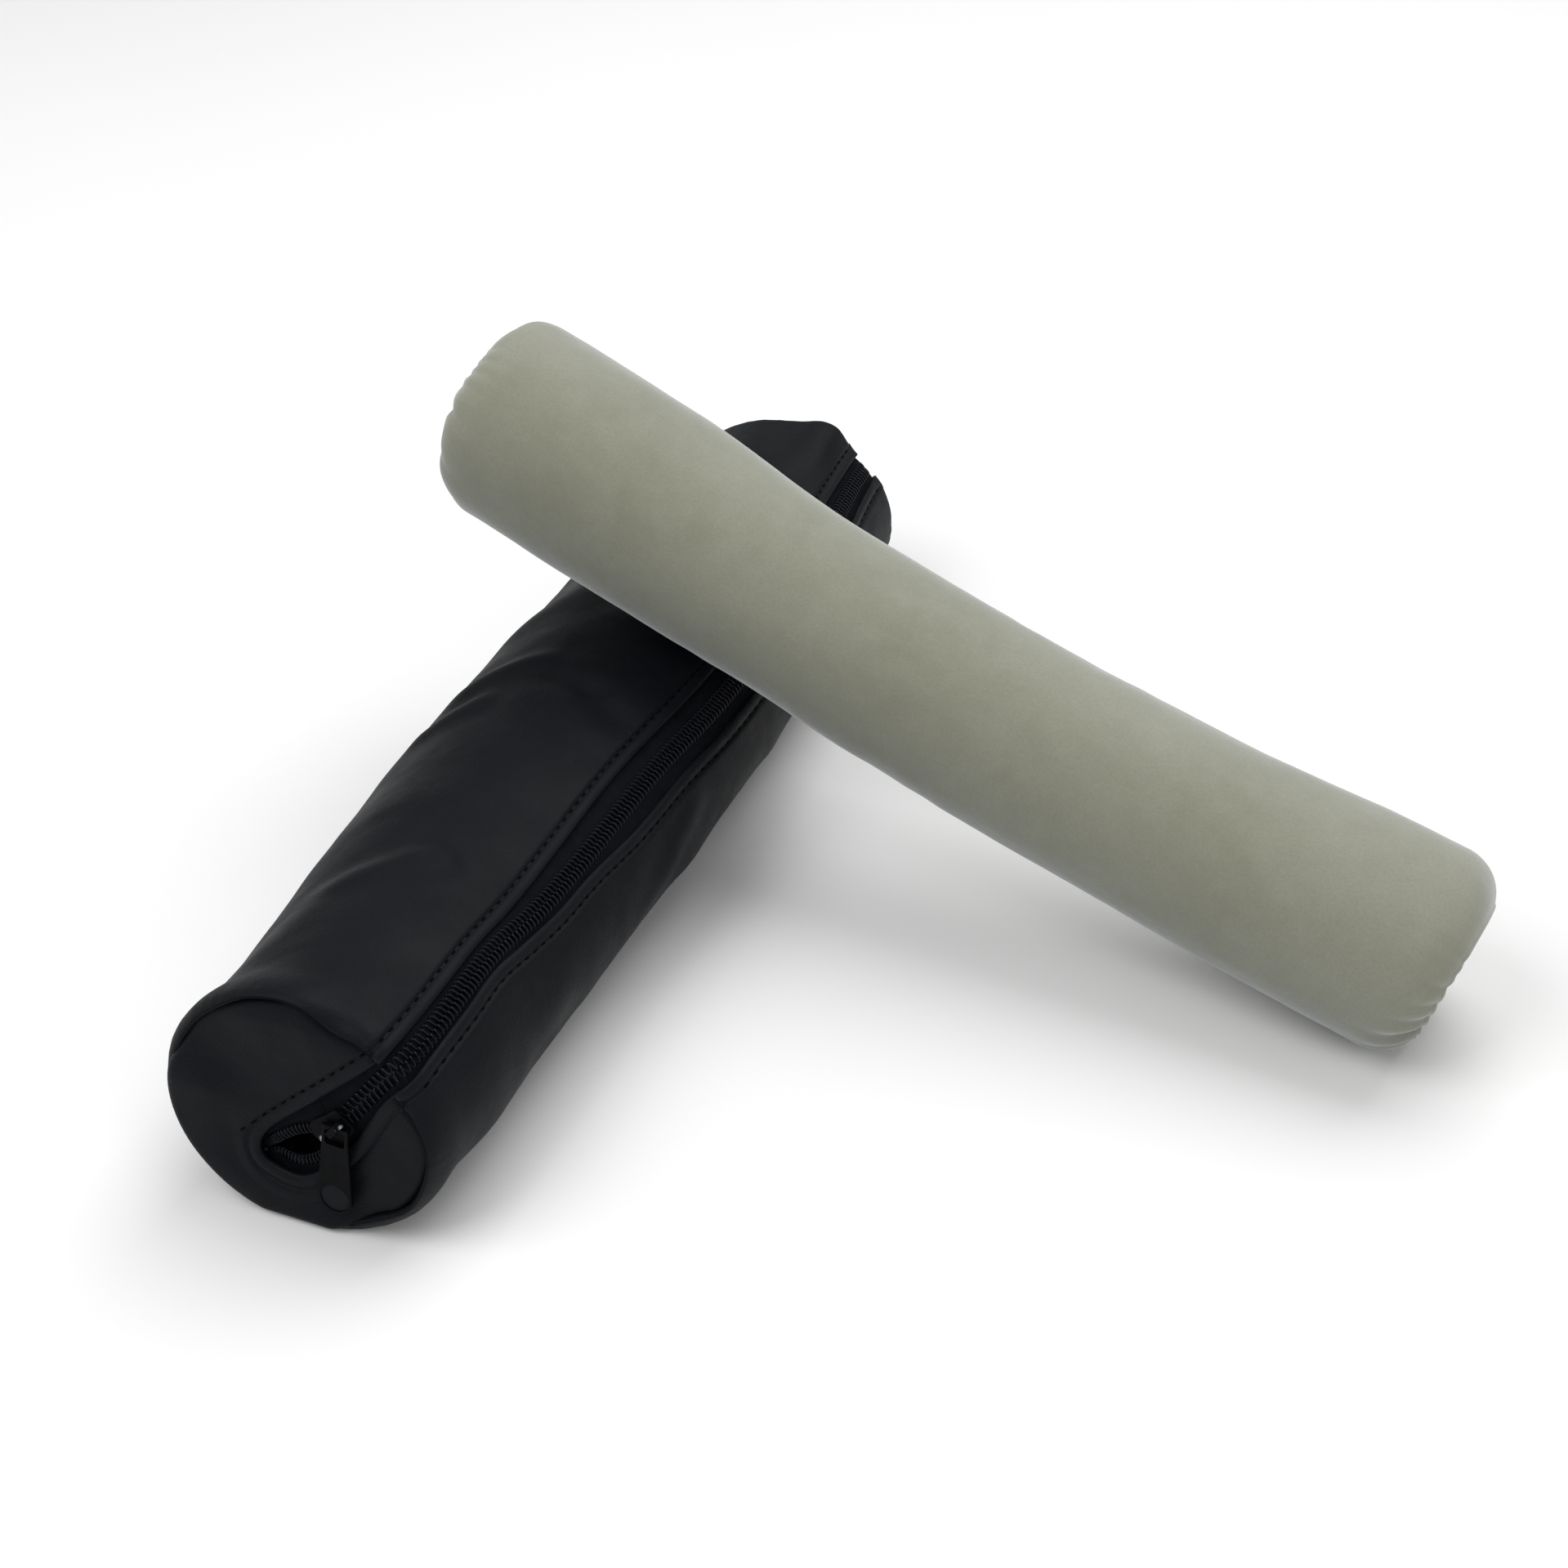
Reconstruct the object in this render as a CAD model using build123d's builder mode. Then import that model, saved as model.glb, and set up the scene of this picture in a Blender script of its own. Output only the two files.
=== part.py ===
from build123d import *
import math
import os

os.makedirs("parts", exist_ok=True)

# Bracelet storage pouch: a soft round zip pouch lying on its flattened bottom,
# and the padded velvet roll that it stores, leaning across it with one end on
# the table. Millimetres. +Y runs along the pouch from the front end panel to
# the rear one, +X to the right, +Z up. Origin: middle of the flat bottom.

# ---------------------------------------------------------------- dimensions
skin_t = 1.2  # leatherette with its knitted backing
bottom_dip = 1.2  # how far the round section is flattened onto the table

# sections of the pouch: y, half width left, half width right, height
sections = [
    (-172.0, 35.0, 35.6, 61.7),
    (-160.0, 35.1, 36.6, 61.7),
    (-146.0, 35.2, 40.2, 61.6),
    (-115.0, 36.9, 41.7, 60.2),
    (-85.0, 40.5, 41.6, 58.8),
    (-50.0, 43.6, 42.2, 58.2),
    (-10.0, 43.8, 44.2, 59.5),
    (35.0, 41.6, 44.6, 61.5),
    (80.0, 39.4, 43.0, 61.5),
    (120.0, 37.5, 40.0, 61.3),
    (158.0, 36.0, 36.6, 61.5),
    (170.0, 35.8, 36.0, 61.5),
]

front_tilt = 8.18  # the front end panel leans back, degrees
front_foot_y = -164.4  # where the front panel's plane meets the table
rear_y = 158.5  # the rear end panel stands upright here

# zipper: rim crossing point in the section, and the direction of the slot up
# to it; q runs along the slot and out of the tube, u across it (+ is up left)
rim_x, rim_z = 26.5, 49.9
qx, qz = 0.7324, 0.6811
ux, uz = -0.6811, 0.7324

coil_half = 1.30  # half width of one side's nylon coil
coil_pair = 1.43  # from the chain's centre to the centre of one coil
coil_out, coil_in = 0.75, 1.30  # proud of and below the pouch's surface
tape_out, tape_in = 1.35, 1.85  # depth of the tape below the surface
tape_half = 15.5  # from the chain's centre to the tape's outer edge
stitch_gap, stitch_w, stitch_t = 3.5, 0.45, 0.30
lining_out, lining_in = 2.30, 2.80
lining_hole = 14.5
binding_out, binding_in, binding_w = 2.95, 4.95, 3.5

# the zipper along the pouch: (y, u)
chain_path = [
    (-175, 0), (-156, 0.05), (-148, -0.45), (-139, -0.4), (-130, -0.25), (-121, -0.1),
    (-112, -0.45), (-105, -1.05), (-97, -2.3), (-87, -3.5), (-75, -4.25), (-60, -4.7),
    (-42, -4.85), (-22, -5.0), (-6, -5.9), (8, -6.9), (28, -7.5), (52, -7.2), (85, -5.3),
    (120, -2.4), (150, -0.1), (172, 0),
]
slit_left = [
    (-175, 3.9), (-157, 3.8), (-148, 3.65), (-138, 3.6), (-127, 3.6), (-118, 3.45), (-110, 3.2),
    (-102, 2.6), (-90, 2.0), (-75, 1.85), (-58, 1.95), (-42, 2.15), (-25, 1.9), (-8, 1.0),
    (12, -0.1), (38, -0.5), (70, 0.4), (110, 2.5), (140, 4.1), (153, 4.6), (172, 4.6),
]
slit_right = [
    (-175, -4.6), (-158, -4.7), (-150, -4.1), (-140, -3.65), (-128, -3.5), (-118, -3.3),
    (-111, -3.75), (-104, -4.9), (-94, -6.4), (-84, -7.6), (-73, -8.15), (-61, -9.1),
    (-49, -10.5), (-36, -11.3), (-21, -11.6), (-8, -12.2), (3, -13.1), (22, -14.0), (45, -13.8),
    (80, -11.9), (115, -8.7), (140, -5.7), (153, -4.6), (172, -4.6),
]
# the open mouth in the front end panel: (q, u)
front_slot_upper = [(9, 3.85), (0, 3.8), (-14.7, 3.75), (-30, 4.1), (-43, 4.1)]
front_slot_lower = [
    (-45.6, -6.4), (-42.8, -9.3), (-38.2, -10.8), (-30, -10.9), (-22, -9.3),
    (-15.5, -7.3), (-11.5, -6.0), (-7.5, -4.9), (-3, -4.5), (3, -4.6), (9, -4.6),
]
front_slot_end = (-48.4, -0.6)
# the two coils on the front end panel, apart between the slider and the end
front_left_coil = [
    (9, coil_pair), (-1.5, coil_pair), (-21.5, -3.60 + coil_pair),
    (-25.5, -2.27), (-29.0, -1.85), (-32.5, -0.1), (-36, 1.05), (-41, 1.4),
    (-53, 1.3),
]
front_right_coil = [
    (9, -coil_pair), (-1.5, -coil_pair), (-21.5, -3.60 - coil_pair),
    (-25.5, -6.27), (-29.5, -7.88), (-33, -8.4), (-37, -8.3), (-41, -6.9),
    (-44.5, -3.9), (-47, -1.9), (-53, -1.7),
]
rear_slot_length = 47.0
rear_slot_half = 4.6

# slider and pull
slider_x, slider_v = 11.7, 31.0  # centre of the slider on the front panel
slider_dir = (0.6097, 0.7926)  # its travel in the panel, towards the rim
pull_turn = 3.4  # the pull hangs a little to the left, degrees
pull_tilt = 2.5  # and leans in to the panel, degrees
pivot_h = 3.10  # pull axis above the panel's plane
bridge_shift = 2.4  # the bridge sits towards the rim end of the slider

# padded roll: ends of its axis, radius, and how it is squeezed and bent
roll_left = (-47.9, 43.2, 112.9)
roll_right = (247.0, 3.25, 25.35)
roll_r = 28.7
roll_corner = 12.0
velvet_t = 1.0
end_disc_r = 19.0
# position along the half length (-1 to 1), share of the radius, sag
roll_sections = [
    (-0.9228, 1.000, 0.0), (-0.84, 1.000, 0.25), (-0.70, 0.996, 1.1),
    (-0.56, 0.985, 2.6), (-0.45, 0.955, 4.1), (-0.33, 0.918, 5.3),
    (-0.15, 0.918, 6.5), (0.03, 0.925, 6.9), (0.25, 0.930, 6.4),
    (0.42, 0.938, 5.5), (0.60, 0.958, 4.2), (0.76, 0.985, 2.2),
    (0.86, 0.997, 0.8), (0.9228, 1.000, 0.0),
]

# ---------------------------------------------------------------- planes
tilt = math.radians(front_tilt)
front_normal = Vector(0, -math.cos(tilt), math.sin(tilt))
front_up = Vector(0, math.sin(tilt), math.cos(tilt))
front_plane = Plane(origin=(0, front_foot_y, 0), x_dir=(1, 0, 0), z_dir=front_normal)
rear_plane = Plane(origin=(0, rear_y, 0), x_dir=(-1, 0, 0), z_dir=(0, 1, 0))
zip_plane = Plane(origin=(rim_x, 0, rim_z), x_dir=(0, 1, 0), z_dir=(qx, 0, qz))


def on_front(points):
    """(q, u) on the front end panel as that plane's own coordinates."""
    return [
        (rim_x + qx * q + ux * u, (rim_z + qz * q + uz * u) / math.cos(tilt))
        for q, u in points
    ]


def on_rear(points):
    """(q, u) on the rear end panel as that plane's own coordinates."""
    return [(-(rim_x + qx * q + ux * u), rim_z + qz * q + uz * u) for q, u in points]


def beside(points, distance):
    """A path beside another one, to the left of its direction if positive."""
    out = []
    for i, (x, y) in enumerate(points):
        x0, y0 = points[max(i - 1, 0)]
        x1, y1 = points[min(i + 1, len(points) - 1)]
        length = math.hypot(x1 - x0, y1 - y0)
        out.append((x - (y1 - y0) / length * distance, y + (x1 - x0) / length * distance))
    return out


def form(radial, front=None, rear=None, bottom=None):
    """The pouch's outer form, drawn in by these distances."""
    front = radial if front is None else front
    rear = radial if rear is None else rear
    bottom = radial if bottom is None else bottom
    with BuildPart() as body:
        for y, left, right, height in sections:
            half = (height + bottom_dip) / 2
            centre = (right - left) / 2
            section_plane = Plane(
                origin=(centre, y, height - half), x_dir=(1, 0, 0), z_dir=(0, -1, 0)
            )
            with BuildSketch(section_plane):
                Ellipse((left + right) / 2 - radial, half - radial)
        loft()
        split(bisect_by=Plane.XY.offset(bottom), keep=Keep.TOP)
        split(bisect_by=front_plane.offset(-front), keep=Keep.BOTTOM)
        split(bisect_by=rear_plane.offset(-rear), keep=Keep.BOTTOM)
    return body.part


def strip(side_a, side_b, low, high):
    """A block between two paths along the pouch, (y, u), from q low to high."""
    with BuildPart() as block:
        with BuildSketch(zip_plane.offset(low)):
            with BuildLine():
                a = Spline(side_a)
                b = Spline(side_b)
                Line(a @ 0, b @ 0)
                Line(a @ 1, b @ 1)
            make_face()
        extrude(amount=high - low)
    return block.part


def front_block(outline, depth, proud):
    """A block through the front end panel from an outline in (q, u)."""
    with BuildPart() as block:
        with BuildSketch(front_plane.offset(-depth)):
            with BuildLine():
                Polyline(*on_front(outline), close=True)
            make_face()
        extrude(amount=depth + proud)
    return block.part


def rear_block(outline, depth, proud):
    """A block through the rear end panel from an outline in (q, u)."""
    with BuildPart() as block:
        with BuildSketch(rear_plane.offset(-depth)):
            with BuildLine():
                Polyline(*on_rear(outline), close=True)
            make_face()
        extrude(amount=depth + proud)
    return block.part


def clipped(path, low, high):
    """The points of a path along the pouch between two y values, with ends."""

    def at(y):
        for (y0, u0), (y1, u1) in zip(path, path[1:]):
            if y0 <= y <= y1:
                return u0 + (u1 - u0) * (y - y0) / (y1 - y0)
        return path[-1][1]

    inner = [(y, u) for y, u in path if low + 1.0 < y < high - 1.0]
    return [(low, at(low))] + inner + [(high, at(high))]


# ---------------------------------------------------------------- pouch shell
slot_outline = front_slot_upper + [(-47.0, 2.2), front_slot_end, (-47.6, -3.2)] + front_slot_lower
rear_outline = [
    (9, rear_slot_half), (-rear_slot_length + 4.6, rear_slot_half),
    (-rear_slot_length + 1.3, 3.2), (-rear_slot_length, 0),
    (-rear_slot_length + 1.3, -3.2), (-rear_slot_length + 4.6, -rear_slot_half),
    (9, -rear_slot_half),
]
outer_form = form(0)
slit_block = strip(slit_left, slit_right, -14, 22)

with BuildPart() as body_panel:
    add(outer_form)
    add(form(skin_t, -8, -8, skin_t), mode=Mode.SUBTRACT)
    add(slit_block, mode=Mode.SUBTRACT)
body_panel.part.label = "body_panel"

panel_edge = skin_t + 0.05
with BuildPart() as front_end_panel:
    add(form(panel_edge, 0.05, 20, panel_edge))
    split(bisect_by=front_plane.offset(-0.05 - skin_t), keep=Keep.TOP)
    add(front_block(slot_outline, 6, 4), mode=Mode.SUBTRACT)
front_end_panel.part.label = "front_end_panel"

with BuildPart() as rear_end_panel:
    add(form(panel_edge, 20, 0.05, panel_edge))
    split(bisect_by=rear_plane.offset(-0.05 - skin_t), keep=Keep.TOP)
    add(rear_block(rear_outline, 6, 4), mode=Mode.SUBTRACT)
rear_end_panel.part.label = "rear_end_panel"

# ---------------------------------------------------------------- lining
hole_left = [(y, u + lining_hole) for y, u in chain_path]
hole_right = [(y, u - lining_hole - 0.4) for y, u in chain_path]
lining_strip = strip(hole_left, hole_right, -16, 22)
front_hole = [(12, lining_hole), (-50, lining_hole), (-50, -15.5), (12, -15.5)]
rear_hole = [(12, lining_hole), (-53, lining_hole), (-53, -lining_hole), (12, -lining_hole)]

with BuildPart() as body_lining:
    add(form(lining_out, lining_in + 0.1, lining_in + 0.1, lining_out))
    add(form(lining_in, -8, -8, lining_in), mode=Mode.SUBTRACT)
    add(lining_strip, mode=Mode.SUBTRACT)
body_lining.part.label = "body_lining"

with BuildPart() as front_end_lining:
    add(form(lining_out + 0.05, lining_out, 20, lining_out + 0.05))
    split(bisect_by=front_plane.offset(-lining_in), keep=Keep.TOP)
    add(front_block(front_hole, 8, 2), mode=Mode.SUBTRACT)
front_end_lining.part.label = "front_end_lining"

with BuildPart() as rear_end_lining:
    add(form(lining_out + 0.05, 20, lining_out, lining_out + 0.05))
    split(bisect_by=rear_plane.offset(-lining_in), keep=Keep.TOP)
    add(rear_block(rear_hole, 8, 2), mode=Mode.SUBTRACT)
rear_end_lining.part.label = "rear_end_lining"

# fabric binding around the seam allowance inside each end
with BuildPart() as front_seam_binding:
    add(form(binding_out, binding_out, 20, binding_out))
    add(form(binding_in, -8, -8, binding_in), mode=Mode.SUBTRACT)
    split(bisect_by=front_plane.offset(-binding_out - binding_w), keep=Keep.TOP)
    add(lining_strip, mode=Mode.SUBTRACT)
front_seam_binding.part.label = "front_seam_binding"

with BuildPart() as rear_seam_binding:
    add(form(binding_out, 20, binding_out, binding_out))
    add(form(binding_in, -8, -8, binding_in), mode=Mode.SUBTRACT)
    split(bisect_by=rear_plane.offset(-binding_out - binding_w), keep=Keep.TOP)
    add(lining_strip, mode=Mode.SUBTRACT)
rear_seam_binding.part.label = "rear_seam_binding"

# ---------------------------------------------------------------- zipper
tape_outer_form, tape_inner_form = form(tape_out), form(tape_in)
coil_outer_form, coil_inner_form = form(-coil_out), form(coil_in)
body_chain = clipped(chain_path, -155.2, 155.0)


def shifted(path, du):
    return [(y, u + du) for y, u in path]


def tape(sign, coil_path):
    """One zipper tape: from under its coil out to its sewn edge."""
    inner = 0.35 * sign
    outer = tape_half * sign
    front_inner = beside(coil_path, (coil_half - 0.2) * sign)
    front_edge = [(-53, (tape_half - 1.0) * sign - 1.0), (9, (tape_half - 1.0) * sign)]
    rear_edge = [
        (9, inner), (-rear_slot_length - 6, inner),
        (-rear_slot_length - 6, outer * 0.93), (9, outer * 0.93),
    ]
    with BuildPart() as region:
        add(strip(shifted(body_chain, inner), shifted(body_chain, outer), -9, 20))
        add(front_block(front_inner + front_edge, 2.6, 2))
        add(rear_block(rear_edge, 3.9, 2))
    with BuildPart() as piece:
        add(tape_outer_form)
        add(tape_inner_form, mode=Mode.SUBTRACT)
        add(region.part, mode=Mode.INTERSECT)
    return piece.part


def coil(sign, coil_path):
    """One side of the nylon chain, as the bar that its loops fill."""
    near = (coil_pair - coil_half) * sign
    far = (coil_pair + coil_half) * sign
    front_outline = beside(coil_path, coil_half) + beside(coil_path, -coil_half)[::-1]
    rear_edge = [
        (9, near), (-rear_slot_length - 5, near), (-rear_slot_length - 5, far), (9, far)
    ]
    with BuildPart() as region:
        add(strip(shifted(body_chain, near), shifted(body_chain, far), -3, 20))
        add(front_block(front_outline, 2.6, 2))
        add(rear_block(rear_edge, 3.9, 2))
    with BuildPart() as piece:
        add(coil_outer_form)
        add(coil_inner_form, mode=Mode.SUBTRACT)
        add(region.part, mode=Mode.INTERSECT)
    return piece.part


# each tape and coil is one long piece that is told apart at the front rim: the
# stretch in the mouth spreads and closes as the slider passes, the rest is still
mouth_plane = front_plane.offset(-1.92)
tape_left, tape_right = tape(1, front_left_coil), tape(-1, front_right_coil)

with BuildPart() as zipper_tape_left:
    add(tape_left)
    split(bisect_by=mouth_plane, keep=Keep.BOTTOM)
zipper_tape_left.part.label = "zipper_tape_left"

with BuildPart() as zipper_tape_right:
    add(tape_right)
    split(bisect_by=mouth_plane, keep=Keep.BOTTOM)
zipper_tape_right.part.label = "zipper_tape_right"

with BuildPart() as mouth_tape_left:
    add(tape_left)
    split(bisect_by=mouth_plane, keep=Keep.TOP)
mouth_tape_left.part.label = "mouth_tape_left"

with BuildPart() as mouth_tape_right:
    add(tape_right)
    split(bisect_by=mouth_plane, keep=Keep.TOP)
mouth_tape_right.part.label = "mouth_tape_right"

# the coils stop at the ends of the slots, where the leatherette covers them
slot_cover_front = front_block([(-45.4, 12), (-60, 12), (-60, -14), (-45.4, -14)], 1.30, 3)
slot_cover_rear = rear_block(
    [(-rear_slot_length + 1.6, 8), (-60, 8), (-60, -8), (-rear_slot_length + 1.6, -8)], 1.30, 3
)
coil_left, coil_right = coil(1, front_left_coil), coil(-1, front_right_coil)

with BuildPart() as zipper_coil_left:
    add(coil_left)
    add(slot_cover_rear, mode=Mode.SUBTRACT)
    split(bisect_by=mouth_plane, keep=Keep.BOTTOM)
zipper_coil_left.part.label = "zipper_coil_left"

with BuildPart() as zipper_coil_right:
    add(coil_right)
    add(slot_cover_rear, mode=Mode.SUBTRACT)
    split(bisect_by=mouth_plane, keep=Keep.BOTTOM)
zipper_coil_right.part.label = "zipper_coil_right"

with BuildPart() as mouth_coil_left:
    add(coil_left)
    add(slot_cover_front, mode=Mode.SUBTRACT)
    split(bisect_by=mouth_plane, keep=Keep.TOP)
mouth_coil_left.part.label = "mouth_coil_left"

with BuildPart() as mouth_coil_right:
    add(coil_right)
    add(slot_cover_front, mode=Mode.SUBTRACT)
    split(bisect_by=mouth_plane, keep=Keep.TOP)
mouth_coil_right.part.label = "mouth_coil_right"

# the topstitching: one thread around the whole zipper opening
body_left = clipped(slit_left, -155.2, 155.0)
body_right = clipped(slit_right, -155.2, 155.0)
with BuildPart() as stitch_region:
    add(strip(shifted(body_left, stitch_gap), shifted(body_left, stitch_gap + stitch_w), -9, 20))
    add(strip(shifted(body_right, -stitch_gap), shifted(body_right, -stitch_gap - stitch_w), -9, 20))
    add(
        front_block(
            beside(slot_outline, -stitch_gap) + beside(slot_outline, -stitch_gap - stitch_w)[::-1],
            2.6,
            2,
        )
    )
    add(
        rear_block(
            beside(rear_outline, -stitch_gap) + beside(rear_outline, -stitch_gap - stitch_w)[::-1],
            3.9,
            2,
        )
    )
with BuildPart() as topstitch_thread:
    add(form(-stitch_t - 0.02))
    add(form(-0.02), mode=Mode.SUBTRACT)
    add(stitch_region.part, mode=Mode.INTERSECT)
topstitch_thread.part.label = "topstitch_thread"

# ---------------------------------------------------------------- slider
slider_axis = Vector(slider_dir[0], 0, 0) + front_up * slider_dir[1]
slider_origin = front_plane.from_local_coords(Vector(slider_x, slider_v, 0))
slider_plane = Plane(origin=slider_origin, x_dir=slider_axis, z_dir=front_normal)
slider_side = front_normal.cross(slider_axis)
arch_plane = Plane(origin=slider_origin, x_dir=slider_axis, z_dir=slider_side * -1)
plate_low, plate_high, plate_t = -2.15, 1.05, 1.0
shield = [
    (5.5, 3.3), (2.0, 3.9), (-2.3, 5.2), (-4.5, 4.7), (-5.5, 2.6),
    (-5.5, -2.6), (-4.5, -4.7), (-2.3, -5.2), (2.0, -3.9), (5.5, -3.3),
]

with BuildPart() as zipper_slider:
    with BuildSketch(slider_plane.offset(plate_high)) as top_shield:
        with BuildLine():
            Polyline(*shield, close=True)
        make_face()
        fillet(top_shield.vertices(), 0.8)
    extrude(amount=plate_t)
    fillet(zipper_slider.faces().sort_by(Axis(slider_origin, front_normal))[-1].edges(), 0.35)
    with BuildSketch(slider_plane.offset(plate_low - plate_t)) as low_shield:
        with BuildLine():
            Polyline(*shield, close=True)
        make_face()
        fillet(low_shield.vertices(), 0.8)
    extrude(amount=plate_t)
    # lips that hold the coils in, along both sides of the upper plate
    for side in (1, -1):
        with BuildSketch(slider_plane.offset(0.35)):
            with BuildLine():
                Polyline(
                    (5.2, 3.25 * side), (2.0, 3.85 * side), (-2.3, 5.15 * side),
                    (-3.9, 4.85 * side), (-3.9, 4.1 * side), (-2.3, 4.35 * side),
                    (2.0, 3.05 * side), (5.2, 2.95 * side), close=True,
                )
            make_face()
        extrude(amount=plate_high - 0.35 + 0.1)
    # the divider between the two coils
    with BuildSketch(slider_plane.offset(plate_low - 0.1)):
        with BuildLine():
            Polyline((-5.2, -1.1), (-5.2, 1.1), (-2.2, 0.2), (-2.2, -0.2), close=True)
        make_face()
    extrude(amount=plate_high - plate_low + 0.2)
    # the bridge that carries the pull
    with BuildSketch(arch_plane):
        with BuildLine():
            Polyline(
                *[
                    (x + bridge_shift, z)
                    for x, z in [
                        (-2.8, 1.9), (-2.8, 3.9), (-1.9, 4.95), (1.9, 4.95),
                        (2.8, 3.9), (2.8, 1.9), (1.9, 1.9), (1.9, 3.5),
                        (1.35, 4.1), (-1.35, 4.1), (-1.9, 3.5), (-1.9, 1.9),
                    ]
                ],
                close=True,
            )
        make_face()
    extrude(amount=0.9, both=True)
    # a low ridge from the bridge down to the divider's end
    with BuildSketch(arch_plane):
        with BuildLine():
            Polyline((-5.1, 1.9), (-4.8, 2.35), (-0.2, 2.45), (-0.2, 1.9), close=True)
        make_face()
    extrude(amount=0.45, both=True)
zipper_slider.part.label = "zipper_slider"

# ---------------------------------------------------------------- pull
turn = math.radians(pull_turn)
lean = math.radians(pull_tilt)
pull_across = Vector(math.cos(turn), 0, 0) - front_up * math.sin(turn)
pull_along = Vector(math.sin(turn), 0, 0) + front_up * math.cos(turn)
pull_normal = front_normal * math.cos(lean) - pull_along * math.sin(lean)
pivot = slider_origin + front_normal * pivot_h + slider_axis * bridge_shift
pull_plane = Plane(origin=pivot, x_dir=pull_across, z_dir=pull_normal)
pull_t = 1.0
pull_end_y, pull_end_r = -21.3, 4.65
pull_top_half = 3.55

with BuildPart() as slider_pull:
    with BuildSketch(pull_plane.offset(-pull_t / 2)) as pull_outline:
        with BuildLine():
            Polyline(
                (-pull_top_half, 0.55), (pull_top_half, 0.55), (pull_top_half, -3.6),
                (pull_end_r, pull_end_y), (-pull_end_r, pull_end_y),
                (-pull_top_half, -3.6), close=True,
            )
        make_face()
        with Locations((0, pull_end_y)):
            Circle(pull_end_r)
        with Locations((0, -2.775)):
            RectangleRounded(5.4, 4.45, 0.9, mode=Mode.SUBTRACT)
    extrude(amount=pull_t)
    with BuildSketch(pull_plane.offset(pull_t / 2 - 0.22)):
        with Locations((0, pull_end_y)):
            Circle(3.85)
    extrude(amount=1.0, mode=Mode.SUBTRACT)
    fillet(slider_pull.edges().filter_by(GeomType.CIRCLE).filter_by(lambda e: e.radius > 4.0), 0.25)
slider_pull.part.label = "slider_pull"

# ---------------------------------------------------------------- padded roll
end_a, end_b = Vector(*roll_left), Vector(*roll_right)
roll_length = (end_b - end_a).length
roll_axis = (end_b - end_a).normalized()
roll_mid = (end_a + end_b) * 0.5
roll_side = roll_axis.cross(Vector(0, 0, 1)).normalized()
roll_down = roll_axis.cross(roll_side).normalized()
if roll_down.Z > 0:
    roll_down = roll_down * -1


def roll_form(inset):
    """The roll's form drawn in by a distance: bent, squeezed, rounded ends."""
    with BuildPart() as body:
        for place, share, sag in roll_sections:
            centre = roll_mid + roll_axis * (place * roll_length / 2) + roll_down * sag
            with BuildSketch(Plane(origin=centre, x_dir=roll_side, z_dir=roll_axis)):
                Circle(roll_r * share - inset)
        loft()
        for end in (-1, 1):
            place = roll_sections[0][0] if end < 0 else roll_sections[-1][0]
            start = place * roll_length / 2 * end
            radius = roll_r - inset
            corner = roll_corner - inset
            centre = roll_mid + roll_axis * (start * end)
            profile = Plane(origin=centre, x_dir=roll_side, z_dir=roll_side.cross(roll_axis * end))
            with BuildSketch(profile):
                with BuildLine():
                    Line((0, 0), (radius, 0))
                    CenterArc((radius - corner, 0), corner, 0, 90)
                    Line((radius - corner, corner), (0, corner))
                    Line((0, corner), (0, 0))
                make_face()
            revolve(axis=Axis(centre, roll_axis))
    return body.part


roll_outer, roll_inner = roll_form(0), roll_form(velvet_t)


def end_plug(radius, end):
    """A short cylinder on the axis at one end of the roll."""
    with BuildPart() as plug:
        place = roll_mid + roll_axis * (end * (roll_length / 2 - 8))
        with BuildSketch(Plane(origin=place, x_dir=roll_side, z_dir=roll_axis * end)):
            Circle(radius)
        extrude(amount=12)
    return plug.part


with BuildPart() as velvet_sleeve:
    add(roll_outer)
    add(roll_inner, mode=Mode.SUBTRACT)
    add(end_plug(end_disc_r, -1), mode=Mode.SUBTRACT)
    add(end_plug(end_disc_r, 1), mode=Mode.SUBTRACT)
velvet_sleeve.part.label = "velvet_sleeve"

with BuildPart() as left_end_disc:
    add(roll_outer)
    add(roll_inner, mode=Mode.SUBTRACT)
    add(end_plug(end_disc_r - 0.05, -1), mode=Mode.INTERSECT)
left_end_disc.part.label = "left_end_disc"

with BuildPart() as right_end_disc:
    add(roll_outer)
    add(roll_inner, mode=Mode.SUBTRACT)
    add(end_plug(end_disc_r - 0.05, 1), mode=Mode.INTERSECT)
right_end_disc.part.label = "right_end_disc"

with BuildPart() as foam_core:
    add(roll_form(velvet_t + 0.1))
foam_core.part.label = "foam_core"

# ---------------------------------------------------------------- export
export_step(body_panel.part, "parts/body_panel.step")
export_step(front_end_panel.part, "parts/front_end_panel.step")
export_step(rear_end_panel.part, "parts/rear_end_panel.step")
export_step(body_lining.part, "parts/body_lining.step")
export_step(front_end_lining.part, "parts/front_end_lining.step")
export_step(rear_end_lining.part, "parts/rear_end_lining.step")
export_step(front_seam_binding.part, "parts/front_seam_binding.step")
export_step(rear_seam_binding.part, "parts/rear_seam_binding.step")
export_step(zipper_tape_left.part, "parts/zipper_tape_left.step")
export_step(zipper_tape_right.part, "parts/zipper_tape_right.step")
export_step(zipper_coil_left.part, "parts/zipper_coil_left.step")
export_step(zipper_coil_right.part, "parts/zipper_coil_right.step")
export_step(mouth_tape_left.part, "parts/mouth_tape_left.step")
export_step(mouth_tape_right.part, "parts/mouth_tape_right.step")
export_step(mouth_coil_left.part, "parts/mouth_coil_left.step")
export_step(mouth_coil_right.part, "parts/mouth_coil_right.step")
export_step(topstitch_thread.part, "parts/topstitch_thread.step")
export_step(zipper_slider.part, "parts/zipper_slider.step")
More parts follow.
